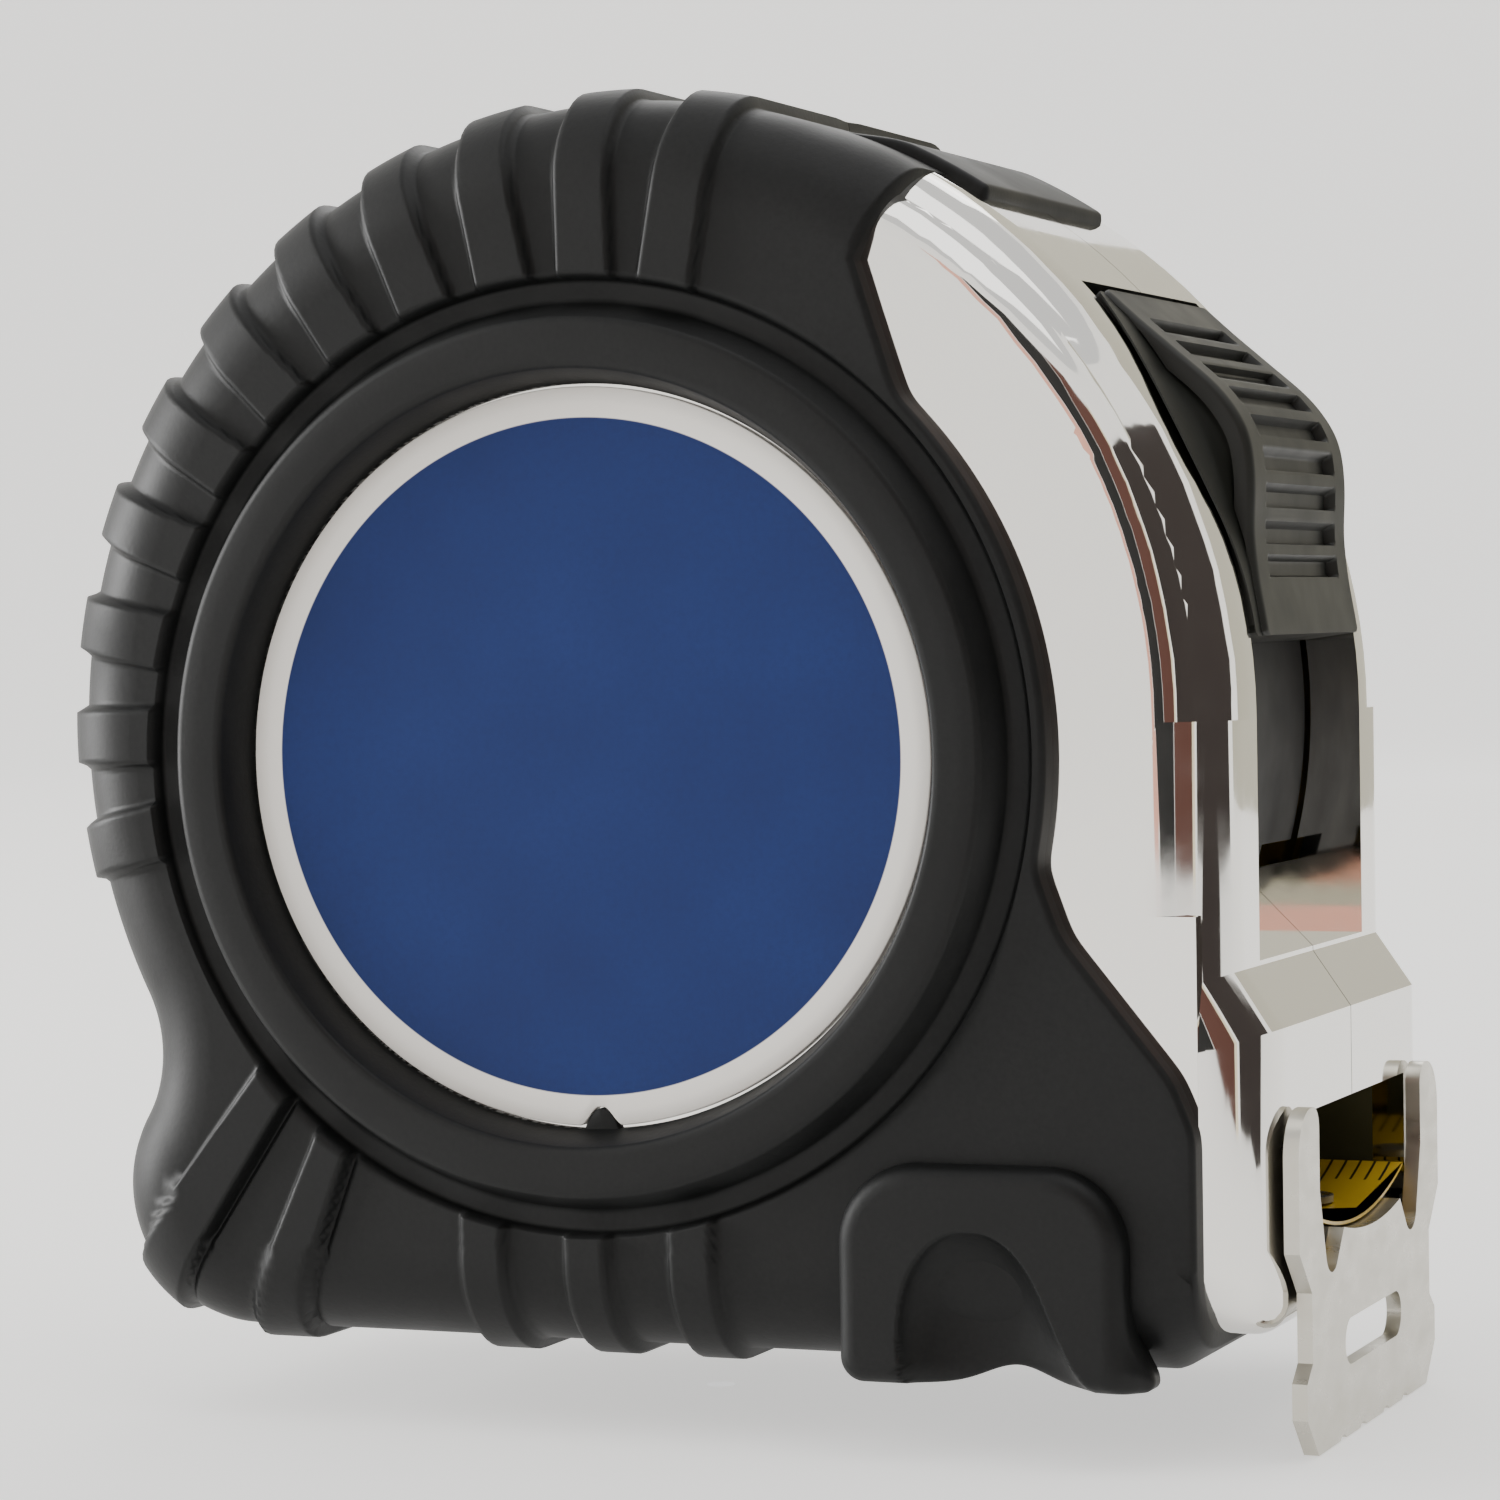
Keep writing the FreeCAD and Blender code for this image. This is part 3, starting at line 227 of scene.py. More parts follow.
def open_seam(piece: bpy.types.Object, shift_mm: float) -> None:
    """Draw the faces on the middle plane back a little, so the two halves show their parting line."""
    mesh = piece.data
    points = np.empty(len(mesh.vertices) * 3)
    mesh.vertices.foreach_get("co", points)
    points = points.reshape(-1, 3)
    points[np.abs(points[:, 1]) < 0.01 * MM, 1] = shift_mm * MM
    mesh.vertices.foreach_set("co", points.ravel())
    mesh.update()


# ---------------------------------------------------------------- finishes


class Tree:
    """A material's node tree, with one function that adds a node."""

    def __init__(self, name: str) -> None:
        """Start a material with an empty tree."""
        self.material = bpy.data.materials.new(name)
        self.material.use_nodes = True
        self.nodes = self.material.node_tree.nodes
        self.links = self.material.node_tree.links
        self.nodes.clear()

    def add(self, kind: str, inputs: dict | None = None, **settings: object) -> bpy.types.Node:
        """Add a node.

        Args:
            kind: the node's type without its ShaderNode prefix.
            inputs: socket name or number to a value or to another node's output socket.
            settings: properties set on the node.

        Returns:
            The node.
        """
        made = self.nodes.new("ShaderNode" + kind)
        for key, value in settings.items():
            setattr(made, key, value)
        for key, value in (inputs or {}).items():
            if isinstance(value, bpy.types.NodeSocket):
                self.links.new(value, made.inputs[key])
            else:
                made.inputs[key].default_value = value
        return made

    def noise(
        self, place: bpy.types.NodeSocket, size_mm: float, detail: float, **more: float
    ) -> bpy.types.Node:
        """Add noise whose features are about this many millimetres long."""
        settings = {"Vector": place, "Scale": 1 / (size_mm * MM), "Detail": detail, **more}
        return self.add("TexNoise", settings)

    def spread(
        self, amount: bpy.types.NodeSocket, low: float, high: float, **ends: float
    ) -> bpy.types.NodeSocket:
        """Stretch low..high to 0..1, or to the two ends given as To_Min and To_Max."""
        named = {key.replace("_", " "): value for key, value in ends.items()}
        limits = {"Value": amount, "From Min": low, "From Max": high, **named}
        return self.add("MapRange", limits).outputs[0]

    def relief(
        self, height: bpy.types.NodeSocket, strength: float, depth_mm: float
    ) -> bpy.types.NodeSocket:
        """Turn a height into a bumped normal."""
        settings = {"Height": height, "Strength": strength, "Distance": depth_mm * MM}
        return self.add("Bump", settings).outputs[0]

    def finish(self, **shader: object) -> bpy.types.Material:
        """Add the Principled shader with these sockets, and the output."""
        body = self.add("BsdfPrincipled", {k.replace("_", " "): v for k, v in shader.items()})
        self.add("OutputMaterial", {"Surface": body.outputs[0]})
        return self.material


def blend_colours(tree: Tree, amount: bpy.types.NodeSocket, low: str, high: str) -> bpy.types.NodeSocket:
    """Mix two hex colours by a 0..1 value."""
    ramp = tree.add("ValToRGB", {0: amount})
    ramp.color_ramp.elements[0].color = linear(low)
    ramp.color_ramp.elements[1].color = linear(high)
    return ramp.outputs[0]


@dataclass(frozen=True)
class MouldedRubber:
    """Thermoplastic rubber, moulded in a spark-eroded tool: matt, with a fine pebble grain."""

    name: str = "moulded_rubber"
    dark: str = "#0b0c0c"
    light: str = "#131414"
    roughness: float = 0.5
    grain_mm: float = 0.34
    grain_depth_mm: float = 0.02
    cloud_mm: float = 9.0

    def build(self) -> bpy.types.Material:
        """Grain of 0.34 mm as bump, and cloudy shade and gloss over about 9 mm."""
        tree = Tree(self.name)
        place = tree.add("TexCoord").outputs["Object"]
        grain = tree.noise(place, self.grain_mm, 2.0, Roughness=0.6)
        cloud = tree.noise(place, self.cloud_mm, 3.0)
        shade = tree.add("Math", {0: grain.outputs[0], 1: cloud.outputs[0]}, operation="MULTIPLY")
        stretch = tree.spread(shade.outputs[0], 0.12, 0.42)
        gloss = tree.spread(cloud.outputs[0], 0.3, 0.7,
                            To_Min=self.roughness - 0.06, To_Max=self.roughness + 0.08)
        bump = tree.relief(grain.outputs[0], 0.55, self.grain_depth_mm)
        return tree.finish(Base_Color=blend_colours(tree, stretch, self.dark, self.light),
                           Roughness=gloss, Normal=bump, Specular_IOR_Level=0.22, IOR=1.5)


@dataclass(frozen=True)
class PlatedChrome:
    """ABS plated with bright chrome: a mirror, a little wavy from the moulding under it."""

    name: str = "plated_chrome"
    colour: str = "#e9e7e2"
    roughness: float = 0.045
    wave_mm: float = 14.0
    wave_depth_mm: float = 0.005
    haze_mm: float = 2.5

    def build(self) -> bpy.types.Material:
        """Slow waves 14 mm long bend the reflections; a faint haze varies the gloss."""
        tree = Tree(self.name)
        place = tree.add("TexCoord").outputs["Object"]
        wave = tree.noise(place, self.wave_mm, 1.0)
        haze = tree.noise(place, self.haze_mm, 3.0)
        gloss = tree.spread(haze.outputs[0], 0.3, 0.7,
                            To_Min=self.roughness * 0.6, To_Max=self.roughness * 1.6)
        bump = tree.relief(wave.outputs[0], 0.5, self.wave_depth_mm)
        return tree.finish(Base_Color=linear(self.colour), Metallic=1.0, Roughness=gloss, Normal=bump)


@dataclass(frozen=True)
class MouldedPlastic:
    """Glass-filled nylon or ABS, moulded: satin, with a faint grain and flow marks."""

    name: str
    dark: str
    light: str
    roughness: float = 0.42
    grain_mm: float = 0.45
    drift_mm: float = 5.0
    grain_depth_mm: float = 0.012

    def build(self) -> bpy.types.Material:
        """Grain as bump, and shade that drifts over a few millimetres."""
        tree = Tree(self.name)
        place = tree.add("TexCoord").outputs["Object"]
        grain = tree.noise(place, self.grain_mm, 2.0)
        drift = tree.noise(place, self.drift_mm, 2.0)
        gloss = tree.spread(drift.outputs[0], 0.3, 0.7,
                            To_Min=self.roughness - 0.05, To_Max=self.roughness + 0.07)
        bump = tree.relief(grain.outputs[0], 0.35, self.grain_depth_mm)
        return tree.finish(Base_Color=blend_colours(tree, drift.outputs[0], self.dark, self.light),
                           Roughness=gloss, Normal=bump, Specular_IOR_Level=0.3)


@dataclass(frozen=True)
class BrushedMetal:
    """Sheet or turned metal with a grain along one axis, such as nickel-plated or zinc-plated steel."""

    name: str
    colour: str
    stain: str
    roughness: float = 0.26
    grain: tuple[float, float, float] = (1.0, 1.0, 12.0)
    line_mm: float = 0.12
    stain_mm: float = 6.0
    line_depth_mm: float = 0.002

    def build(self) -> bpy.types.Material:
        """Fine lines stretched along the grain as bump and gloss, and faint stains."""
        tree = Tree(self.name)
        place = tree.add("TexCoord").outputs["Object"]
        along = tree.add("Mapping", {"Vector": place, "Scale": self.grain})
        lines = tree.noise(along.outputs[0], self.line_mm * 12, 4.0)
        stain = tree.noise(place, self.stain_mm, 4.0)
        gloss = tree.spread(lines.outputs[0], 0.3, 0.7,
                            To_Min=self.roughness - 0.07, To_Max=self.roughness + 0.09)
        bump = tree.relief(lines.outputs[0], 0.15, self.line_depth_mm)
        return tree.finish(Base_Color=blend_colours(tree, stain.outputs[0], self.stain, self.colour),
                           Metallic=1.0, Roughness=gloss, Normal=bump)


@dataclass(frozen=True)
class PrintedLabel:
    """Printed polyester film under clear lacquer: a blue disc with a white border ring."""

    name: str = "printed_label"
    blue: str = "#112355"
    blue_light: str = "#14295f"
    white: str = "#ebe8e2"
    blue_r: float = 22.0
    fleck_mm: float = 0.5
    cloud_mm: float = 11.0
    fleck_depth_mm: float = 0.01

    def build(self) -> bpy.types.Material:
        """The ring is drawn by distance from the axle; the blue carries a fine metallic fleck."""
        tree = Tree(self.name)
        place = tree.add("TexCoord").outputs["Object"]
        centred = tree.add("Mapping", {"Vector": place, "Location": (0.0, 0.0, -AXLE_HEIGHT * MM)})
        parts = tree.add("SeparateXYZ", {0: centred.outputs[0]})
        flat = tree.add("CombineXYZ", {0: parts.outputs[0], 1: parts.outputs[2]})
        reach = tree.add("VectorMath", {0: flat.outputs[0]}, operation="LENGTH")
        ring = tree.add("MapRange", {"Value": reach.outputs["Value"], "From Min": (self.blue_r - 0.04) * MM,
                                     "From Max": (self.blue_r + 0.04) * MM})
        fleck = tree.noise(place, self.fleck_mm, 3.0, Roughness=0.7)
        cloud = tree.noise(place, self.cloud_mm, 2.0)
        both = tree.add("Math", {0: fleck.outputs[0], 1: cloud.outputs[0]}, operation="MULTIPLY")
        blue = blend_colours(tree, tree.spread(both.outputs[0], 0.12, 0.4), self.blue, self.blue_light)
        colour = tree.add("MixRGB", {0: ring.outputs[0], 1: blue, 2: linear(self.white)})
        bump = tree.relief(fleck.outputs[0], 0.12, self.fleck_depth_mm)
        return tree.finish(Base_Color=colour.outputs[0], Roughness=0.42, Normal=bump, Specular_IOR_Level=0.2)


@dataclass(frozen=True)
class LacqueredBlade:
    """Spring steel under yellow lacquer, with black millimetre marks printed along both edges."""

    name: str = "lacquered_blade"
    yellow: str = "#cdaa1c"
    amber: str = "#bd980f"
    black: str = "#151310"
    zero_mm: float = 45.5
    half_mm: float = 12.5
    line_mm: float = 0.18
    drift_mm: float = 7.0
    drift_depth_mm: float = 0.02

    def build(self) -> bpy.types.Material:
        """Marks: 1 mm ones are 3 mm long, 5 mm ones 4.5 mm, and 10 mm ones 6.5 mm."""
        tree = Tree(self.name)
        place = tree.add("TexCoord").outputs["Object"]
        parts = tree.add("SeparateXYZ", {0: place})
        run = tree.add("Math", {0: self.zero_mm * MM, 1: parts.outputs[0]}, operation="SUBTRACT")
        reach = tree.add("Math", {0: parts.outputs[1]}, operation="ABSOLUTE")
        marks = None
        for pitch, length in ((1.0, 3.0), (5.0, 4.5), (10.0, 6.5)):
            shifted = tree.add("Math", {0: run.outputs[0], 1: self.line_mm / 2 * MM}, operation="ADD")
            phase = tree.add("Math", {0: shifted.outputs[0], 1: pitch * MM}, operation="FLOORED_MODULO")
            on_line = tree.add("Math", {0: phase.outputs[0], 1: self.line_mm * MM}, operation="LESS_THAN")
            inner = (self.half_mm - length) * MM
            in_edge = tree.add("Math", {0: reach.outputs[0], 1: inner}, operation="GREATER_THAN")
            mark = tree.add("Math", {0: on_line.outputs[0], 1: in_edge.outputs[0]}, operation="MULTIPLY")
            if marks is not None:
                mark = tree.add("Math", {0: marks.outputs[0], 1: mark.outputs[0]}, operation="MAXIMUM")
            marks = mark
        drift = tree.noise(place, self.drift_mm, 3.0)
        ground = blend_colours(tree, drift.outputs[0], self.amber, self.yellow)
        colour = tree.add("MixRGB", {0: marks.outputs[0], 1: ground, 2: linear(self.black)})
        bump = tree.relief(drift.outputs[0], 0.1, self.drift_depth_mm)
        return tree.finish(Base_Color=colour.outputs[0], Roughness=0.36, Normal=bump,
                           Coat_Weight=0.3, Coat_Roughness=0.25)


@dataclass
class Finishes:
    """Every material, built once."""

    rubber: bpy.types.Material = field(init=False)
    chrome: bpy.types.Material = field(init=False)
    label: bpy.types.Material = field(init=False)
    lock: bpy.types.Material = field(init=False)
    black: bpy.types.Material = field(init=False)
    olive: bpy.types.Material = field(init=False)
    buffer: bpy.types.Material = field(init=False)
    nickel: bpy.types.Material = field(init=False)
    zinc: bpy.types.Material = field(init=False)
    clip: bpy.types.Material = field(init=False)
    brass: bpy.types.Material = field(init=False)
    spring: bpy.types.Material = field(init=False)
    liner: bpy.types.Material = field(init=False)
    drum: bpy.types.Material = field(init=False)
    blade: bpy.types.Material = field(init=False)
    ink: bpy.types.Material = field(init=False)

    def __post_init__(self) -> None:
        """Build the materials."""
        self.rubber = MouldedRubber().build()
        self.chrome = PlatedChrome().build()
        self.label = PrintedLabel().build()
        self.lock = MouldedPlastic("lock_nylon", "#131411", "#1b1c18", 0.46).build()
        self.black = MouldedPlastic("black_acetal", "#060606", "#0b0b0b", 0.6, 0.8).build()
        self.olive = MouldedPlastic("olive_nylon", "#2f2e1c", "#3c3a25", 0.38).build()
        self.buffer = MouldedPlastic("buffer_rubber", "#171717", "#202020", 0.6).build()
        self.nickel = BrushedMetal("satin_nickel", "#c9c6bc", "#b9b5a9", 0.3, (1.0, 1.0, 2.0), 0.3).build()
        self.zinc = BrushedMetal("zinc_steel", "#c6c7c8", "#a9abac", 0.3, (1.0, 1.0, 1.0)).build()
        self.clip = BrushedMetal("satin_steel", "#cfcfcc", "#b5b4b0", 0.24, (8.0, 1.0, 1.0)).build()
        self.brass = BrushedMetal("turned_brass", "#c9a65a", "#b08f48", 0.28, (1.0, 12.0, 1.0)).build()
        self.spring = BrushedMetal("blued_spring_steel", "#566072", "#3d4552", 0.3, (1.0, 10.0, 1.0)).build()
        self.liner = MouldedPlastic("liner_card", "#a89a80", "#b9ac93", 0.5).build()
        self.drum = MouldedPlastic("drum_abs", "#b9b9b4", "#c8c8c3", 0.4).build()
        self.blade = LacqueredBlade().build()
        self.ink = MouldedPlastic("printing_ink", "#12110f", "#1a1917", 0.4).build()


# ---------------------------------------------------------------- the case


@dataclass
class CaseForm:
    """Sizes that the case, its jacket and its lock share, in mm about the axle."""

    arc: tuple[float, float] = (2.0, 2.0)
    jacket_r: float = 41.5
    front_r: float = 40.7
    jacket_half: float = 23.5
    jacket_edge: float = 7.0
    shell_half: float = 21.0
    shell_edge: float = 7.0
    relief: float = 0.8

    def at(self, radius: np.ndarray | float, degrees: np.ndarray | float) -> tuple[np.ndarray, np.ndarray]:
        """x and z on a circle about the arc's centre."""
        angle = np.radians(degrees)
        return self.arc[0] + radius * np.cos(angle), self.arc[1] + radius * np.sin(angle)


@dataclass
class RubberJacket:
    """One half of the jacket: rim, groove, side face, ribs, rounded edge and back band."""

    form: CaseForm
    side: Side
    heel: tuple[float, float] = (-26.5, -29.2)
    heel_r: float = 10.3
    waist_r: float = 7.4
    sole_z: float = -39.5
    sole_front: float = 41.2
    sole_chamfer: float = 1.7
    top_deg: float = 60.0
    step: float = 0.27
    inner_r: float = 24.2
    face_r: float = 31.1
    groove_depth: float = 0.45
    seam_step: float = 0.12
    seam_gap: float = 0.03
    chamfer_lead: float = 2.9
    chamfer_run: float = 3.4
    wall_inset: float = 5.6
    wall_y: float = 18.0
    chrome_overlap: float = 0.3
    thickness: float = 2.55
    inner_y: float = 20.93
    rib_first: float = 80.0
    rib_pitch: float = 11.2
    rib_count: int = 11
    rib_half: float = 1.95
    lip: float = 0.45
    ring: tuple = ((24.2, 20.7), (24.2, 21.45), (25.02, 24.1), (25.12, 24.36), (25.32, 24.47), (25.7, 24.5),
                   (26.8, 24.5), (27.9, 24.5), (28.2, 24.42), (28.42, 24.2), (29.25, 22.15), (29.42, 21.97),
                   (29.7, 21.9), (30.55, 21.9), (30.75, 21.95), (30.85, 22.12))
    line_rows: int = 16
    edge_rows: int = 13
    band_rows: int = 8

    def waist_centre(self) -> np.ndarray:
        """Centre of the waist's arc: it touches both the back arc and the heel arc."""
        first, second = np.array(self.form.arc), np.array(self.heel)
        far, near = self.form.jacket_r + self.waist_r, self.heel_r + self.waist_r
        gap = second - first
        span = np.linalg.norm(gap)
        along = (far ** 2 - near ** 2 + span ** 2) / (2 * span)
        aside = math.sqrt(far ** 2 - along ** 2)
        unit = gap / span
        return first + along * unit + aside * np.array([unit[1], -unit[0]])

    def back_path(self) -> tuple[np.ndarray, np.ndarray]:
        """The outer outline from the top, over the back, waist, heel and sole, with its normals.

        Returns:
            (n, 2) points and (n, 2) outward normals in the xz plane.
        """
        arc, heel, waist = np.array(self.form.arc), np.array(self.heel), self.waist_centre()
        to_waist = math.degrees(math.atan2(*(waist - arc)[::-1])) % 360
        waist_low = math.degrees(math.atan2(*(heel - waist)[::-1]))
        heel_start = math.degrees(math.atan2(*(waist - heel)[::-1]))
        legs = []
        for centre, radius, start, stop, sign in (
                (arc, self.form.jacket_r, self.top_deg, to_waist, 1),
                (waist, self.waist_r, to_waist - 180, waist_low, -1),
                (heel, self.heel_r, heel_start, 270.0, 1)):
            count = max(int(math.radians(abs(stop - start)) * radius / self.step), 4)
            angle = np.radians(np.linspace(start, stop, count, endpoint=False))
            unit = np.stack([np.cos(angle), np.sin(angle)], axis=1)
            legs.append((centre + radius * unit, unit * sign))
        x = np.arange(self.heel[0], self.sole_front, self.step)
        sole = np.stack([x, np.full_like(x, self.sole_z)], axis=1)
        legs.append((sole, np.tile([0.0, -1.0], (len(x), 1))))
        return np.concatenate([leg[0] for leg in legs]), np.concatenate([leg[1] for leg in legs])

    def window_path(self) -> tuple[np.ndarray, np.ndarray]:
        """The edge beside the bare chrome, from the sole up to the top, with its normals."""
        ring = np.radians(np.linspace(-12.7, 45.4, 60))
        curve = np.stack([31.9 * np.cos(ring), 31.9 * np.sin(ring)], axis=1)
        corners = np.array([[41.2, -31.9], [41.2, -23.3], [39.8, -20.0], [32.7, -11.3]])
        horn = np.array([[20.7, 27.9], [20.35, 29.0], [19.95, 30.3], [19.6, 31.4]])
        path = relaxed(resample(np.concatenate([corners, curve, horn]), 0.3), 10)
        return path, path_normals(path)

    def rib_mask(self, x: np.ndarray, z: np.ndarray) -> tuple[np.ndarray, np.ndarray]:
        """How much each point is raised onto a rib (0..1), and how much it sinks into a line.

        Back ribs run radially from the arc's centre; heel bands lie along two slanted
        lines; sole ribs run straight down. A smoothstep 0.4 mm wide rounds each flank.
        """
        ax, az = x - self.form.arc[0], z - self.form.arc[1]
        bearing = np.degrees(np.arctan2(az, ax)) % 360
        reach = np.hypot(ax, az)
        index = np.clip(np.round((bearing - self.rib_first) / self.rib_pitch), 0, self.rib_count - 1)
        off = np.radians(bearing - self.rib_first - index * self.rib_pitch)
        near_back = (bearing > 60) & (bearing < 205)
        distance = np.where(near_back, reach * np.abs(np.sin(off)), 9.0)
        raised = smoothstep((self.rib_half + 0.2 - distance) / 0.4)
        sunk = np.zeros_like(raised)
        for sx, sz, degrees, width in ((-22.6, -22.0, 233.6, 3.6), (-18.2, -26.0, 247.3, 3.3)):
            ux, uz = math.cos(math.radians(degrees)), math.sin(math.radians(degrees))
            along = (x - sx) * ux + (z - sz) * uz
            across = -(x - sx) * uz + (z - sz) * ux
            flare = width / 2 * (0.82 + 0.022 * np.clip(along, 0, 20))
            here = (along > -6) & (z < -19) & (x < -8)
            on_band = smoothstep((flare + 0.2 - np.abs(across)) / 0.4)
            in_line = smoothstep(1 - np.abs(across - flare - 0.25) / 0.42)
            raised = np.where(here, np.maximum(raised, on_band), raised)
            sunk = np.where(here, np.maximum(sunk, in_line), sunk)
        for centre in (-7.05, 0.35, 7.75):
            here = z < -26
            on_band = smoothstep((1.75 - np.abs(x - centre)) / 0.4)
            raised = np.where(here, np.maximum(raised, on_band), raised)
        return raised, sunk

    def rim_and_face(self, start: np.ndarray) -> tuple[np.ndarray, ...]:
        """Columns of the rim, and of the flat face from the rim out to these points.

        Args:
            start: (n, 2) points in the xz plane where the flat face ends.

        Returns:
            Unit vectors from the axle, the rim's xz and y, and the face's xz.
        """
        bearing = np.arctan2(start[:, 1], start[:, 0])
        unit = np.stack([np.cos(bearing), np.sin(bearing)], axis=1)
        ring = np.array(self.ring)
        ring_xz = unit[:, None, :] * ring[None, :, 0, None]
        ring_y = np.repeat(ring[None, :, 1], len(unit), axis=0)
        share = np.linspace(0, 1, self.line_rows)[None, :, None]
        face_xz = (unit * self.face_r)[:, None, :] * (1 - share) + start[:, None, :] * share
        return unit, ring_xz, ring_y, face_xz

    def back_grid(self) -> np.ndarray:
        """Columns of the back part: ring, side face, rounding, band, inner wall."""
        form = self.form
        outline, normal = self.back_path()
        start = outline - form.jacket_edge * normal
        unit, ring_xz, ring_y, face_xz = self.rim_and_face(start)
        angle = np.linspace(0, math.pi / 2, self.edge_rows)[1:]
        band = np.linspace(1, 0, self.band_rows)[1:]

        def surface(inset: np.ndarray) -> tuple[np.ndarray, np.ndarray]:
            """Side face, rounding and band where the surface lies this far below the ribs."""
            face_y = form.jacket_half - inset[:, :self.line_rows]
            rows = inset[:, self.line_rows:self.line_rows + len(angle)]
            radius = form.jacket_edge - rows
            round_xz = start[:, None, :] + normal[:, None, :] * (radius * np.sin(angle))[..., None]
            round_y = form.jacket_half - form.jacket_edge + radius * np.cos(angle)
            rows = inset[:, self.line_rows + len(angle):]
            band_xz = outline[:, None, :] - normal[:, None, :] * rows[..., None]
            band_y = np.repeat((band * (form.jacket_half - form.jacket_edge))[None], len(outline), axis=0)
            return (np.concatenate([face_xz, round_xz, band_xz], axis=1),
                    np.concatenate([face_y, round_y, band_y], axis=1))

        count = self.line_rows + len(angle) + len(band)
        full, _ = surface(np.zeros((len(outline), count)))
        raised, sunk = self.rib_mask(full[..., 0], full[..., 1])
        inset = form.relief * (1 - raised) + self.groove_depth * sunk
        inset[:, -1] += self.seam_step
        lower = np.concatenate([np.zeros(self.line_rows), np.sin(angle) ** 2, np.ones(len(band))])
        past = outline[:, :1] - self.sole_front + self.chamfer_lead
        front = smoothstep(past / self.chamfer_run) * (outline[:, 1:] < -30)
        inset += self.sole_chamfer * front * lower
        outer_xz, outer_y = surface(inset)
        outer_y[:, -1] = self.seam_gap
        inner_xz = np.stack([outline - self.thickness * normal, outline - self.thickness * normal,
                             outline - self.wall_inset * normal, unit * self.inner_r], axis=1)
        inner_y = np.tile([self.seam_gap, self.wall_y, self.inner_y, self.inner_y], (len(outline), 1))
        xz = np.concatenate([ring_xz, outer_xz, inner_xz], axis=1)
        y = np.concatenate([ring_y, outer_y, inner_y], axis=1)
        return np.stack([xz[..., 0], self.side.value * y, xz[..., 1]], axis=-1)

    def window_grid(self) -> np.ndarray:
        """Columns beside the window: ring, side face, a small lip, and a wall to the chrome."""
        form = self.form
        path, normal = self.window_path()
        start = path - self.lip * normal
        unit, ring_xz, ring_y, face_xz = self.rim_and_face(start)

        def height(xz: np.ndarray, half: float, edge: float, outer: float, sole: float) -> np.ndarray:
            """Half width less the drop of a rounded edge, by depth inside the outline."""
            reach = np.hypot(xz[..., 0] - form.arc[0], xz[..., 1] - form.arc[1])
            depth = np.where(xz[..., 1] < -10, xz[..., 1] - sole, outer - reach)
            short = np.clip(edge - depth, 0, edge)
            return half - (edge - np.sqrt(edge ** 2 - short ** 2))

        low = form.jacket_edge - form.relief
        half, sole = form.jacket_half - form.relief, self.sole_z + form.relief
        face_y = height(face_xz, half, low, form.front_r, sole)
        top_y = height(start[:, None, :], half, low, form.front_r, sole)[:, 0]
        chrome_y = height(path[:, None, :], form.shell_half, form.shell_edge, form.front_r, -44.0)[:, 0]
        floor_y = np.minimum(chrome_y - self.chrome_overlap, top_y - 0.2)
        rows = self.edge_rows - 1 + self.band_rows - 1
        lip_rows = 6
        angle = np.linspace(0, math.pi / 2, lip_rows + 1)[1:]
        lip_xz = start[:, None, :] + normal[:, None, :] * (self.lip * np.sin(angle))[None, :, None]
        lip_y = top_y[:, None] - self.lip * (1 - np.cos(angle))[None]
        drop = np.linspace(0, 1, rows - lip_rows + 1)[1:]
        wall_xz = np.repeat(path[:, None, :], len(drop), axis=1)
        wall_y = lip_y[:, -1:] * (1 - drop) + floor_y[:, None] * drop
        steps = [path - depth * normal for depth in (1.0, 2.0, 3.0)]
        inner_xz = np.stack([*steps, unit * self.inner_r], axis=1)
        inner_y = np.stack([floor_y, floor_y, floor_y, np.full_like(floor_y, self.inner_y)], axis=1)
        xz = np.concatenate([ring_xz, face_xz, lip_xz, wall_xz, inner_xz], axis=1)
        y = np.concatenate([ring_y, face_y, lip_y, wall_y, inner_y], axis=1)
        return np.stack([xz[..., 0], self.side.value * y, xz[..., 1]], axis=-1)

    def build(self, finishes: Finishes) -> bpy.types.Object:
        """Join both grids into one closed ring-shaped surface."""
        name = "left" if self.side is Side.LABEL else "right"
        grid = np.concatenate([self.back_grid(), self.window_grid()])
        faces = grid_faces(grid.shape[0], grid.shape[1], True, True)
        piece = new_piece(f"{name}_jacket", grid.reshape(-1, 3), faces)
        if self.side is Side.CLIP:
            self.bore_screw_holes(piece)
        return settle(piece, Body.CASE, finishes.rubber, "jacket_rubber", f"{name}_rubber_jacket")

    def bore_screw_holes(self, piece: bpy.types.Object) -> None:
        """Cut the four round holes through which the case screws go in."""
        places = [self.form.at(33.3, 150.0), self.form.at(33.3, 82.0), (-26.5, -22.5), (35.5, -20.2)]
        angle = np.linspace(0, 2 * math.pi, 40, endpoint=False)
        points, faces = [], []
        for index, (x, z) in enumerate(places):
            ring = np.stack([x + 2.7 * np.cos(angle), np.zeros(40), z + 2.7 * np.sin(angle)], axis=1)
            rings = np.stack([ring + (0, 12.0, 0), ring + (0, 30.0, 0)])
            part, quads = capped_tube(rings)
            faces.append(quads + index * len(part))
            points.append(part)
        cutter = new_piece("screw_hole_cutter", np.concatenate(points), np.concatenate(faces))
        drill = piece.modifiers.new("holes", "BOOLEAN")
        drill.operation = "DIFFERENCE"
        drill.object = cutter
        drill.solver = "EXACT"
        bored = bpy.data.meshes.new_from_object(piece.evaluated_get(bpy.context.evaluated_depsgraph_get()))
        piece.modifiers.clear()
        piece.data = bored
        bored.set_sharp_from_angle(angle=math.radians(50))
        bpy.data.objects.remove(cutter)


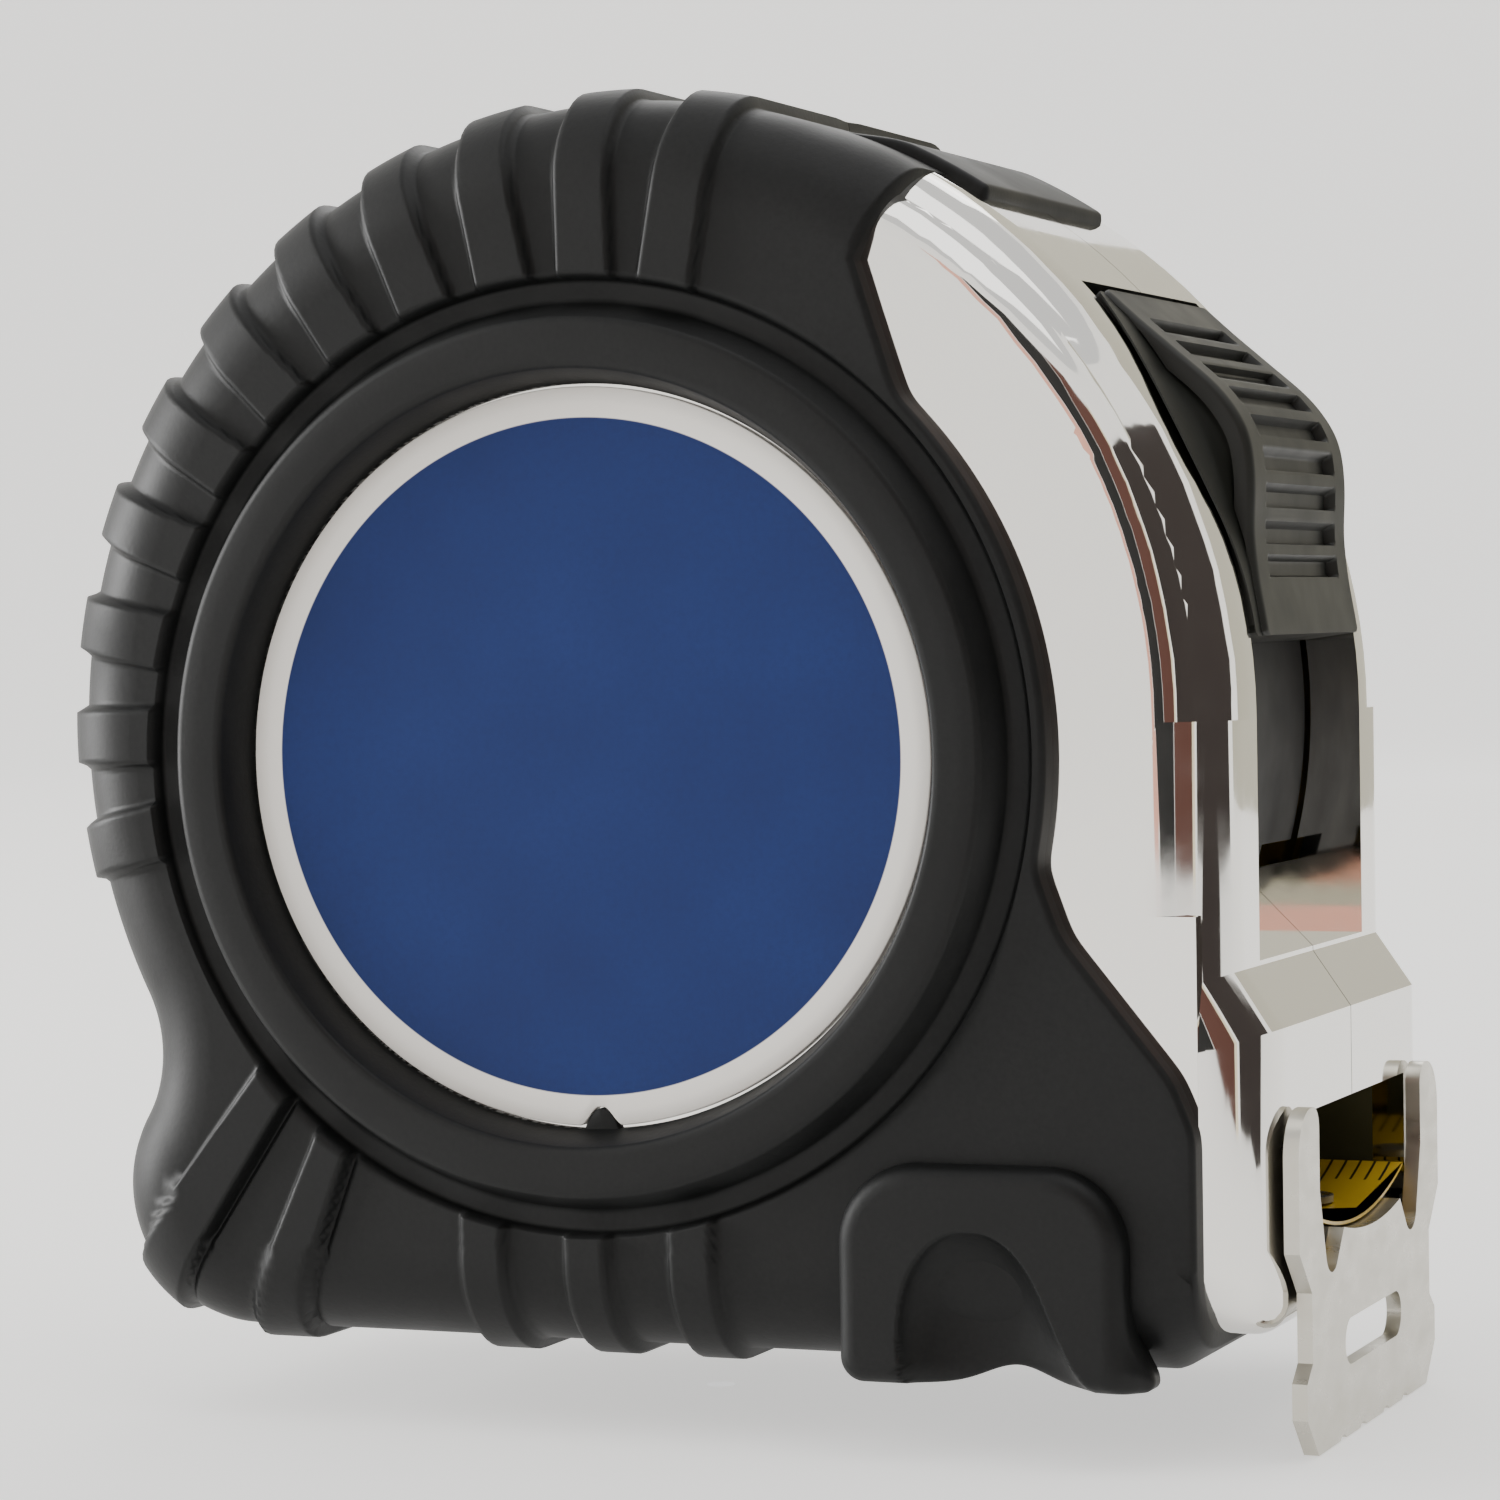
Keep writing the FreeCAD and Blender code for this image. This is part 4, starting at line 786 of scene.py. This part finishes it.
@dataclass
class FingerBumper:
    """The raised pad low on each side, with a thumb scoop that runs out through its foot."""

    form: CaseForm
    side: Side
    left: float = 18.05
    right: float = 37.0
    top: float = -25.5
    bottom: float = -39.4
    corner: float = 5.2
    face_y: float = 24.5
    back_y: float = 22.3
    edge: float = 1.3

    def loop(self, inset: float, count: int = 260) -> np.ndarray:
        """The rounded outline, this far in; its two lower corners are nearly square."""
        x0, x1, z0, z1 = self.left + inset, self.right - inset, self.bottom + inset, self.top - inset
        r = max(self.corner - inset, 0.4)
        small = max(1.6 - inset, 0.3)
        legs = []
        for cx, cz, radius, start in ((x1 - small, z0 + small, small, -90), (x1 - r, z1 - r, r, 0),
                                      (x0 + r, z1 - r, r, 90), (x0 + small, z0 + small, small, 180)):
            a = np.radians(np.linspace(start, start + 90, 24))
            legs.append(np.stack([cx + radius * np.cos(a), cz + radius * np.sin(a)], axis=1))
        path = np.concatenate([*legs, legs[0][:1]])
        return resample(path, np.linalg.norm(np.diff(path, axis=0), axis=1).sum() / count)[:count]

    def scoop(self, x: np.ndarray, z: np.ndarray) -> np.ndarray:
        """Depth of the thumb scoop: a hollow 10 mm wide that flares and deepens downwards."""
        up = np.clip((z + 39.4) / 9.9, 0, 1)
        centre = 27.0 + 1.7 * (1 - up) ** 3
        half = 5.25 * np.sqrt(np.clip(1 - up ** 2.6, 0, 1)) + 0.9 * (1 - up) ** 4
        across = np.abs(x - centre) / np.maximum(half, 1e-3)
        bowl = np.sqrt(np.clip(1 - across ** 2, 0, 1))
        return (3.0 - 1.0 * (1 - up) ** 2) * bowl ** 1.15 * np.clip(1 - up ** 4, 0, 1)

    def build(self, finishes: Finishes) -> bpy.types.Object:
        """Shrinking loops: back, wall, rounded edge, then the face down to its middle."""
        rings = [(0.0, self.back_y - 1.5), (0.0, self.back_y)]
        rings += [(0.0, y) for y in np.linspace(self.back_y, self.face_y - self.edge, 6)[1:]]
        rings += [(self.edge * (1 - math.cos(a)), self.face_y - self.edge * (1 - math.sin(a)))
                  for a in np.linspace(0, math.pi / 2, 7)[1:]]
        loops = [(self.loop(inset), y) for inset, y in rings]
        last = loops[-1][0]
        middle = last.mean(axis=0)
        shares = np.linspace(1, 0.015, 64)[1:]
        loops += [(middle + (last - middle) * share, self.face_y) for share in shares]
        stack = []
        for loop, y in loops:
            low_down = np.clip((-34.5 - loop[:, 1]) / 5.0, 0, 1) ** 2
            behind = np.clip((self.face_y - y) / 2.2, 0, 1)
            x = loop[:, 0] + low_down * (loop[:, 0] > 33) * behind * 2.2
            arch = np.exp(-((x - 29.4) / 2.9) ** 2) * 1.3
            z = loop[:, 1] + arch * np.clip((-36.6 - loop[:, 1]) / 2.8, 0, 1)
            level = y - self.scoop(x, z) * np.clip((y - 19.0) / (self.face_y - 19.0), 0, 1) ** 2
            stack.append(np.stack([x, self.side.value * level, z], axis=1))
        points, faces = capped_tube(np.array(stack))
        name = "left" if self.side is Side.LABEL else "right"
        piece = new_piece(f"{name}_finger_bumper", points, faces)
        return settle(piece, Body.CASE, finishes.rubber, "jacket_rubber")


@dataclass
class TopTongue:
    """The raised tongue of rubber that reaches over the top of the chromed front."""

    form: CaseForm
    low_deg: float = 55.5
    high_deg: float = 75.0
    half: float = 12.2
    top_r: float = 41.47
    foot_r: float = 40.3
    edge: float = 0.45

    def build(self, finishes: Finishes) -> bpy.types.Object:
        """A closed tube of rounded rectangular sections, swept along the case arc."""
        e, h = self.edge, self.half
        quarter = np.linspace(0, math.pi / 2, 6)
        right = np.stack([h - e + e * np.sin(quarter), self.top_r - e + e * np.cos(quarter)], axis=1)
        left = right[::-1] * (-1, 1)
        section = np.concatenate([right, [[h, self.foot_r], [-h, self.foot_r]], left])
        degrees = np.linspace(self.low_deg, self.high_deg, 60)
        taper = 1 - np.clip((self.low_deg + 0.9 - degrees) / 0.9, 0, 1) ** 2
        taper = taper - 0.9 * smoothstep((degrees - 64.0) / 8.0)
        radius = self.foot_r + (section[None, :, 1] - self.foot_r) * (0.25 + 0.75 * taper[:, None])
        width = section[None, :, 0] * (0.97 + 0.03 * taper[:, None])
        x, z = self.form.at(radius, degrees[:, None])
        points, faces = capped_tube(np.stack([x, width + 0 * x, z], axis=-1))
        piece = new_piece("top_tongue", points, faces, 50)
        return settle(piece, Body.CASE, finishes.rubber, "jacket_rubber")


@dataclass
class RoundLabel:
    """A printed disc in the rim, with an index notch at its foot on the label side."""

    side: Side
    radius: float = 24.0
    back_y: float = 21.0
    face_y: float = 21.5
    notch_x: float = 0.9
    notch_half: float = 1.35
    notch_depth: float = 1.25

    def build(self, finishes: Finishes) -> bpy.types.Object:
        """Rings from the back's centre, round the rim and to the face's centre."""
        count = 720
        angle = np.linspace(0, 2 * math.pi, count, endpoint=False)
        foot = np.abs(np.cos(angle) * self.radius - self.notch_x) / self.notch_half
        notch = np.where(np.sin(angle) < 0, self.notch_depth * smoothstep(1.15 - foot), 0.0)
        if self.side is Side.CLIP:
            notch = notch * 0
        rings = []
        for inset, y in ((8.0, self.back_y), (0.0, self.back_y),
                         (0.0, self.face_y - 0.08), (0.03, self.face_y - 0.03),
                         (0.09, self.face_y), (1.0, self.face_y), (1.9, self.face_y), (2.1, self.face_y),
                         (6.0, self.face_y), (15.0, self.face_y)):
            share = 1.0 if inset < 2 else max(0.0, 1 - (inset - 2) / 4)
            reach = self.radius - inset - notch * share
            level = np.full(count, self.side.value * y)
            rings.append(np.stack([reach * np.cos(angle), level, reach * np.sin(angle)], axis=1))
        points, faces = capped_tube(np.array(rings))
        name = "left" if self.side is Side.LABEL else "right"
        piece = new_piece(f"{name}_round_label", points, faces, 50)
        slot = "printed_label" if self.side is Side.LABEL else "plain_label"
        return settle(piece, Body.CASE, finishes.label, slot, f"{name}_label")


@dataclass
class IndexTooth:
    """The small rubber tooth at the rim's foot that turns the label the right way up."""

    middle_x: float = 0.9
    half: float = 1.3
    tip_r: float = 22.8
    foot_r: float = 24.5
    back_y: float = 20.9
    face_y: float = 21.45

    def build(self, finishes: Finishes) -> bpy.types.Object:
        """A rounded triangle, as four stacked loops."""
        turn = np.linspace(0, math.pi, 24)
        x = self.middle_x + self.half * np.cos(turn)
        z = -self.foot_r + (self.foot_r - self.tip_r) * np.sin(turn) ** 1.5
        levels = ((1, self.back_y), (1, self.face_y - 0.1), (0.97, self.face_y - 0.03), (0.9, self.face_y))
        offset = x - self.middle_x
        rings = [np.stack([self.middle_x + offset * k, np.full(24, -y), z - (1 - k) * 0.3], axis=1)
                 for k, y in levels]
        points, faces = capped_tube(np.array(rings))
        piece = new_piece("index_tooth", points, faces, 50)
        return settle(piece, Body.CASE, finishes.rubber, "jacket_rubber")


# ---------------------------------------------------------------- the lock


@dataclass
class ThumbLock:
    """The wave-shaped slider: a grooved ribbon over a skirt that spreads onto the case."""

    form: CaseForm
    low_deg: float = 7.6
    high_deg: float = 41.5
    half: float = 12.4
    peak_r: float = 44.05
    brim_r: float = 41.0
    seat_r: float = 37.1
    groove_half: float = 8.3
    groove_width: float = 1.25
    groove_depth: float = 0.75
    rows: int = 190

    def stations(self) -> tuple[np.ndarray, np.ndarray, np.ndarray]:
        """Place along the lock, height of the ribbon's top, and spread of the skirt."""
        along = np.linspace(0, 1, self.rows)
        knots = np.array([0.0, 0.13, 0.26, 0.38, 0.5, 0.62, 0.76, 0.9, 1.0])
        drops = np.interp(along, knots, [2.6, 2.65, 2.2, 0.95, 0.05, 0.45, 1.65, 2.5, 2.8])
        spreads = np.interp(along, knots, [0.0, 0.15, 1.0, 2.4, 3.1, 3.1, 2.3, 1.0, 0.0])
        drop, spread = relaxed(np.stack([drops, spreads], axis=1), 120).T
        return along, self.peak_r - drop, spread

    def build(self, finishes: Finishes) -> bpy.types.Object:
        """Closed sections across the case, each lying in a plane through the arc's axis."""
        along, crown, spread = self.stations()
        edge = 0.55
        quarter = np.linspace(0, math.pi / 2, 6)
        flat = np.linspace(0, self.half - 0.9 - edge, 60)
        top = np.repeat(crown[:, None], len(flat), axis=1)
        turn_y = self.half - 0.9 - edge + edge * np.sin(quarter)
        turn_r = crown[:, None] - edge + edge * np.cos(quarter)[None]
        lip = np.minimum(1.35, np.maximum(crown - self.brim_r - 0.25, 0.3))
        ledge_r = (crown - lip)[:, None]
        side = np.linspace(0, 1, 10)[1:]
        start_y = self.half - 1.25
        skirt_y = start_y + (self.half + spread - start_y)[:, None] * side[None] ** 1.8
        skirt_r = ledge_r + (self.brim_r - ledge_r) * side[None] ** 0.8
        ones = np.ones((len(along), 1))
        y = np.concatenate([np.repeat(flat[None], len(along), 0), np.repeat(turn_y[None], len(along), 0),
                            ones * (self.half - 0.9), ones * start_y, skirt_y,
                            ones * (self.half + spread[:, None]), ones * self.half, ones * self.half,
                            ones * self.half * 0.5], axis=1)
        r = np.concatenate([top, turn_r, ledge_r, ledge_r - 0.06, skirt_r, ones * (self.brim_r - 0.12),
                            ones * (self.brim_r - 0.14), ones * self.seat_r, ones * self.seat_r], axis=1)
        y, r = np.concatenate([y, -y[:, ::-1]], axis=1), np.concatenate([r, r[:, ::-1]], axis=1)
        run = along[:, None] * math.radians(self.high_deg - self.low_deg) * self.peak_r
        middles = (0.17 + 0.088 * np.arange(9)) * math.radians(self.high_deg - self.low_deg) * self.peak_r
        nearest = np.abs(run[..., None] - middles).min(axis=-1)
        cut = smoothstep((self.groove_width / 2 + 0.12 - nearest) / 0.24) * \
            smoothstep((self.groove_half + 0.15 - np.abs(y)) / 0.3) * (r > crown[:, None] - 0.01)
        r = r - cut * self.groove_depth
        degrees = self.low_deg + (self.high_deg - self.low_deg) * along[:, None]
        x, z = self.form.at(r, degrees)
        body = np.stack([x, y, z], axis=-1)
        ends = []
        for row, shift in ((0, -0.25), (-1, 0.25)):
            core = body[row].mean(axis=0)
            shrunk = core + (body[row] - core) * 0.97
            angle = math.radians(degrees[row, 0])
            ends.append(shrunk + np.array([-math.sin(angle), 0, math.cos(angle)]) * shift)
        points, faces = capped_tube(np.concatenate([ends[0][None], body, ends[1][None]]))
        piece = new_piece("thumb_slider", points, faces, 42)
        return settle(piece, Body.LOCK, finishes.lock, "lock_plastic", "lock_slider")


# ---------------------------------------------------------------- blade, clip


@dataclass
class Blade:
    """The straight end of the blade, cupped across its width, with numbered centimetres."""

    back_x: float = -29.2
    front_x: float = 45.4
    half: float = 12.5
    cup_r: float = 38.0
    floor_z: float = -31.2
    thick: float = 0.22

    def height(self, y: np.ndarray) -> np.ndarray:
        """Height of the cupped middle surface at y."""
        return self.floor_z + self.cup_r - np.sqrt(self.cup_r ** 2 - np.asarray(y) ** 2)

    def build(self, finishes: Finishes) -> list[bpy.types.Object]:
        """A thin closed strip, and the figures printed on it."""
        across = np.linspace(-self.half, self.half, 61)
        upper = np.stack([across, self.height(across) + self.thick / 2], axis=1)
        lower = np.stack([across, self.height(across) - self.thick / 2], axis=1)[::-1]
        section = np.concatenate([upper, lower])
        x = np.linspace(self.back_x, self.front_x, 40)
        rings = np.stack([np.repeat(x[:, None], len(section), 1), np.repeat(section[None, :, 0], 40, 0),
                          np.repeat(section[None, :, 1], 40, 0)], axis=-1)
        points, faces = capped_tube(rings)
        strip = new_piece("steel_blade", points, faces, 40)
        pieces = [settle(strip, Body.BLADE, finishes.blade, "blade_steel", "blade_strip")]
        for number in range(1, 7):
            pieces.append(self.figure(number, finishes))
        return pieces

    def figure(self, number: int, finishes: Finishes) -> bpy.types.Object:
        """One centimetre figure, bent onto the cup and read from the side."""
        words = bpy.data.curves.new(f"figure_{number}", "FONT")
        words.body = str(number)
        words.size = 5.2
        words.align_x = "CENTER"
        words.align_y = "CENTER"
        holder = bpy.data.objects.new("figure_holder", words)
        bpy.context.scene.collection.objects.link(holder)
        flat = bpy.data.meshes.new_from_object(holder.evaluated_get(bpy.context.evaluated_depsgraph_get()))
        bpy.data.objects.remove(holder)
        points = np.array([v.co[:] for v in flat.vertices])
        x = 45.5 - 10.0 * number - points[:, 0]
        y = -points[:, 1]
        bent = np.stack([x, y, self.height(y) + self.thick / 2 + 0.015], axis=1)
        mesh = bpy.data.meshes.new(f"centimetre_{number}")
        placed = (bent + (0, 0, AXLE_HEIGHT)) * MM
        mesh.from_pydata(placed.tolist(), [], [p.vertices[:] for p in flat.polygons])
        piece = bpy.data.objects.new(f"centimetre_{number}", mesh)
        bpy.context.scene.collection.objects.link(piece)
        return settle(piece, Body.BLADE, finishes.ink, "blade_steel")


@dataclass
class BeltClip:
    """The sprung leg: strip steel folded over the base and kicked out at its tip."""

    half: float = 8.0
    thick: float = 1.0
    fold_y: float = 25.9
    fold_z: float = 16.0
    fold_r: float = 3.6

    def build(self, finishes: Finishes) -> bpy.types.Object:
        """A rounded section swept along the fold's centre line."""
        turn = np.radians(np.linspace(180, 0, 40))
        round_fold = np.stack([np.cos(turn), np.sin(turn)], axis=1)
        fold = np.array([self.fold_y, self.fold_z]) + self.fold_r * round_fold
        far = self.fold_y + self.fold_r
        leg = np.array([[far, -12.0], [far - 2.35, -19.0], [far - 0.15, -24.9]])
        path = relaxed(resample(np.concatenate([fold, leg]), 0.35), 8)
        normal = path_normals(path)
        e = 0.22
        quarter = np.linspace(0, math.pi / 2, 5)
        arc = np.stack([np.cos(quarter), np.sin(quarter)], axis=1) * e
        half, thin = self.half - 0.02, self.thick / 2 - 0.01
        corner = np.array([half - e, thin - e])
        section = np.concatenate([corner + arc, corner * (-1, 1) + arc[::-1] * (-1, 1),
                                  -corner - arc, corner * (1, -1) + arc[::-1] * (1, -1)])
        length = np.concatenate([[0], np.cumsum(np.linalg.norm(np.diff(path, axis=0), axis=1))])
        left = length[-1] - length
        width = 1 - 0.35 * np.clip(1 - left / 4.0, 0, 1) ** 2.2
        across = section[None, :, 0] * width[:, None]
        centre = path[:, None, :] + normal[:, None, :] * section[None, :, 1, None]
        points, faces = capped_tube(np.stack([across, centre[..., 0], centre[..., 1]], axis=-1))
        piece = new_piece("belt_clip_leg", points, faces, 50)
        return settle(piece, Body.CLIP, finishes.clip, "clip_steel", "clip_leg")


# ---------------------------------------------------------------- stage


@dataclass
class Studio:
    """Pale floor and wall, soft lights, and the dark cards that a bright object needs."""

    floor_z: float = -4.9
    position: tuple[float, float, float] = (120.64, -287.23, 48.62)
    azimuth: float = 22.284
    elevation: float = 1.735
    roll: float = -0.942
    lens: float = 108.0

    def camera(self) -> None:
        """Put the camera at its place, turned by azimuth, elevation and roll."""
        a, e, r = (math.radians(v) for v in (self.azimuth, self.elevation, self.roll))
        back = np.array([math.sin(a) * math.cos(e), -math.cos(a) * math.cos(e), math.sin(e)])
        right = np.array([math.cos(a), math.sin(a), 0.0])
        up = np.cross(back, right)
        turned = right * math.cos(r) + up * math.sin(r)
        raised = -right * math.sin(r) + up * math.cos(r)
        place = np.eye(4)
        place[:3, 0], place[:3, 1], place[:3, 2] = turned, raised, back
        place[:3, 3] = np.array(self.position) * MM
        data = bpy.data.cameras.new("camera")
        data.lens = self.lens
        data.sensor_width = 36.0
        data.clip_start = 0.01
        camera = bpy.data.objects.new("camera", data)
        camera.matrix_world = Matrix(place.tolist())
        bpy.context.scene.collection.objects.link(camera)
        bpy.context.scene.camera = camera

    def bowl(self) -> None:
        """A round floor that curves up into a wall, so no horizon shows from any side."""
        turn = np.linspace(0, 2 * math.pi, 96, endpoint=False)
        bend = np.linspace(0, math.pi / 2, 16)
        radius = np.concatenate([[0.001, 0.5, 1.0], 1.4 + 0.6 * np.sin(bend), [2.0]])
        height = np.concatenate([[0, 0, 0], 0.6 * (1 - np.cos(bend)), [2.2]])
        x = radius[:, None] * np.cos(turn)
        y = radius[:, None] * np.sin(turn)
        z = np.repeat(height[:, None], 96, axis=1) + self.floor_z * MM
        mesh = bpy.data.meshes.new("studio_bowl")
        points = np.stack([x, y, z], -1).reshape(-1, 3)
        mesh.from_pydata(points.tolist(), [], grid_faces(len(radius), 96, False, True).tolist())
        mesh.polygons.foreach_set("use_smooth", np.ones(len(mesh.polygons), bool))
        bowl = bpy.data.objects.new("studio_bowl", mesh)
        bpy.context.scene.collection.objects.link(bowl)
        tree = Tree("studio_paper")
        mesh.materials.append(tree.finish(Base_Color=linear("#bdbcba"), Roughness=0.9,
                                          Emission_Color=linear("#fdfcfa"), Emission_Strength=0.85))

    def card(self, name: str, colour: str, azimuth: float, distance: float, size: tuple[float, float],
             height: float, glow: float = 0.0) -> None:
        """A reflecting card that stands at this azimuth and faces the object."""
        a = math.radians(azimuth)
        out = np.array([math.sin(a), -math.cos(a), 0.0])
        across = np.array([math.cos(a), math.sin(a), 0.0])
        centre = out * distance + (0, 0, height)
        w, h = size[0] / 2, size[1] / 2
        signs = ((-1, -1), (1, -1), (1, 1), (-1, 1))
        corners = [centre + across * s * w + np.array([0, 0, t * h]) for s, t in signs]
        mesh = bpy.data.meshes.new(name)
        mesh.from_pydata([c.tolist() for c in corners], [], [(0, 1, 2, 3)])
        tree = Tree(name + "_paper")
        mesh.materials.append(tree.finish(Base_Color=linear(colour), Roughness=0.8,
                                          Emission_Color=linear(colour), Emission_Strength=glow))
        board = bpy.data.objects.new(name, mesh)
        bpy.context.scene.collection.objects.link(board)
        board.visible_camera = False
        board.visible_shadow = False

    def light(
        self, name: str, azimuth: float, elevation: float, distance: float, size: float, power: float
    ) -> None:
        """A square soft light aimed at the middle of the object."""
        a, e = math.radians(azimuth), math.radians(elevation)
        out = np.array([math.sin(a) * math.cos(e), -math.cos(a) * math.cos(e), math.sin(e)])
        across = np.array([math.cos(a), math.sin(a), 0.0])
        up = np.cross(out, across)
        place = np.eye(4)
        place[:3, 0], place[:3, 1], place[:3, 2] = across, up, out
        place[:3, 3] = out * distance + (0, 0, 0.04)
        data = bpy.data.lights.new(name, "AREA")
        data.shape = "SQUARE"
        data.size = size
        data.energy = power
        lamp = bpy.data.objects.new(name, data)
        lamp.matrix_world = Matrix(place.tolist())
        bpy.context.scene.collection.objects.link(lamp)

    def build(self) -> None:
        """Set everything up."""
        self.camera()
        self.bowl()
        self.light("left_softbox", -80.0, 9.0, 0.75, 0.32, 7.5)
        self.light("top_softbox", 60.0, 75.0, 1.2, 0.9, 4.0)
        self.light("back_softbox", 190.0, 40.0, 1.2, 0.7, 4.0)
        self.card("pink_card", "#c99484", 6.0, 0.70, (0.07, 0.9), 0.1, 0.3)
        self.card("black_card", "#0b0a0a", 20.0, 0.66, (0.24, 0.9), 0.1)
        self.card("brown_card", "#4a271d", 43.0, 0.65, (0.28, 0.9), 0.1)
        self.card("cream_card", "#c9bfa6", 57.0, 0.64, (0.04, 0.9), 0.1, 0.3)
        self.card("dark_card", "#1b110d", 90.0, 0.66, (0.72, 0.9), 0.1)
        self.card("grey_card", "#a09d90", 158.0, 0.9, (1.0, 1.2), 0.3, 0.34)
        world = bpy.data.worlds.new("studio_air")
        world.use_nodes = True
        world.node_tree.nodes["Background"].inputs[0].default_value = linear("#ffffff")
        world.node_tree.nodes["Background"].inputs[1].default_value = 1.0
        bpy.context.scene.world = world


NODE_FINISHES = {
    "mouth_guide": "olive", "hook_buffer": "buffer", "centre_post": "black", "left_liner_disc": "liner",
    "right_liner_disc": "liner", "case_screws": "zinc", "clip_nut": "brass", "clip_screw": "zinc",
    "clip_base": "clip", "spool_drum": "drum", "spool_cover": "drum", "mainspring": "spring",
    "blade_coil": "blade", "hook_rivets": "zinc", "lock_tongue": "black", "brake_pad": "buffer",
}


def dress_nodes(finishes: Finishes) -> None:
    """Give each CAD node that is still shown its own finish."""
    for node, finish in NODE_FINISHES.items():
        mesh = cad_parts[node].data
        mesh.materials.clear()
        mesh.materials.append(getattr(finishes, finish))
        log.info("%s wears %s", node, finish)


def main() -> None:
    """Build the pieces in order, then the studio."""
    form = CaseForm()
    finishes = Finishes()
    dress_nodes(finishes)
    for side in Side:
        RubberJacket(form, side).build(finishes)
        FingerBumper(form, side).build(finishes)
        RoundLabel(side).build(finishes)
    TopTongue(form).build(finishes)
    IndexTooth().build(finishes)
    for name in ("left", "right"):
        shell = copy_of_node(f"{name}_chrome_shell", f"{name}_case_shell")
        open_seam(shell, -0.06 if name == "left" else 0.06)
        settle(shell, Body.CASE, finishes.chrome, "chromed_plastic", f"{name}_case_shell")
    ThumbLock(form).build(finishes)
    Blade().build(finishes)
    hook = copy_of_node("stamped_hook", "end_hook")
    settle(hook, Body.HOOK, finishes.nickel, "hook_steel", "end_hook")
    BeltClip().build(finishes)
    tongue = copy_of_node("lock_tongue_strip", "lock_tongue")
    settle(tongue, Body.LOCK, finishes.black, "black_plastic", "lock_tongue")
    Studio().build()


if __name__ == "__main__":
    main()
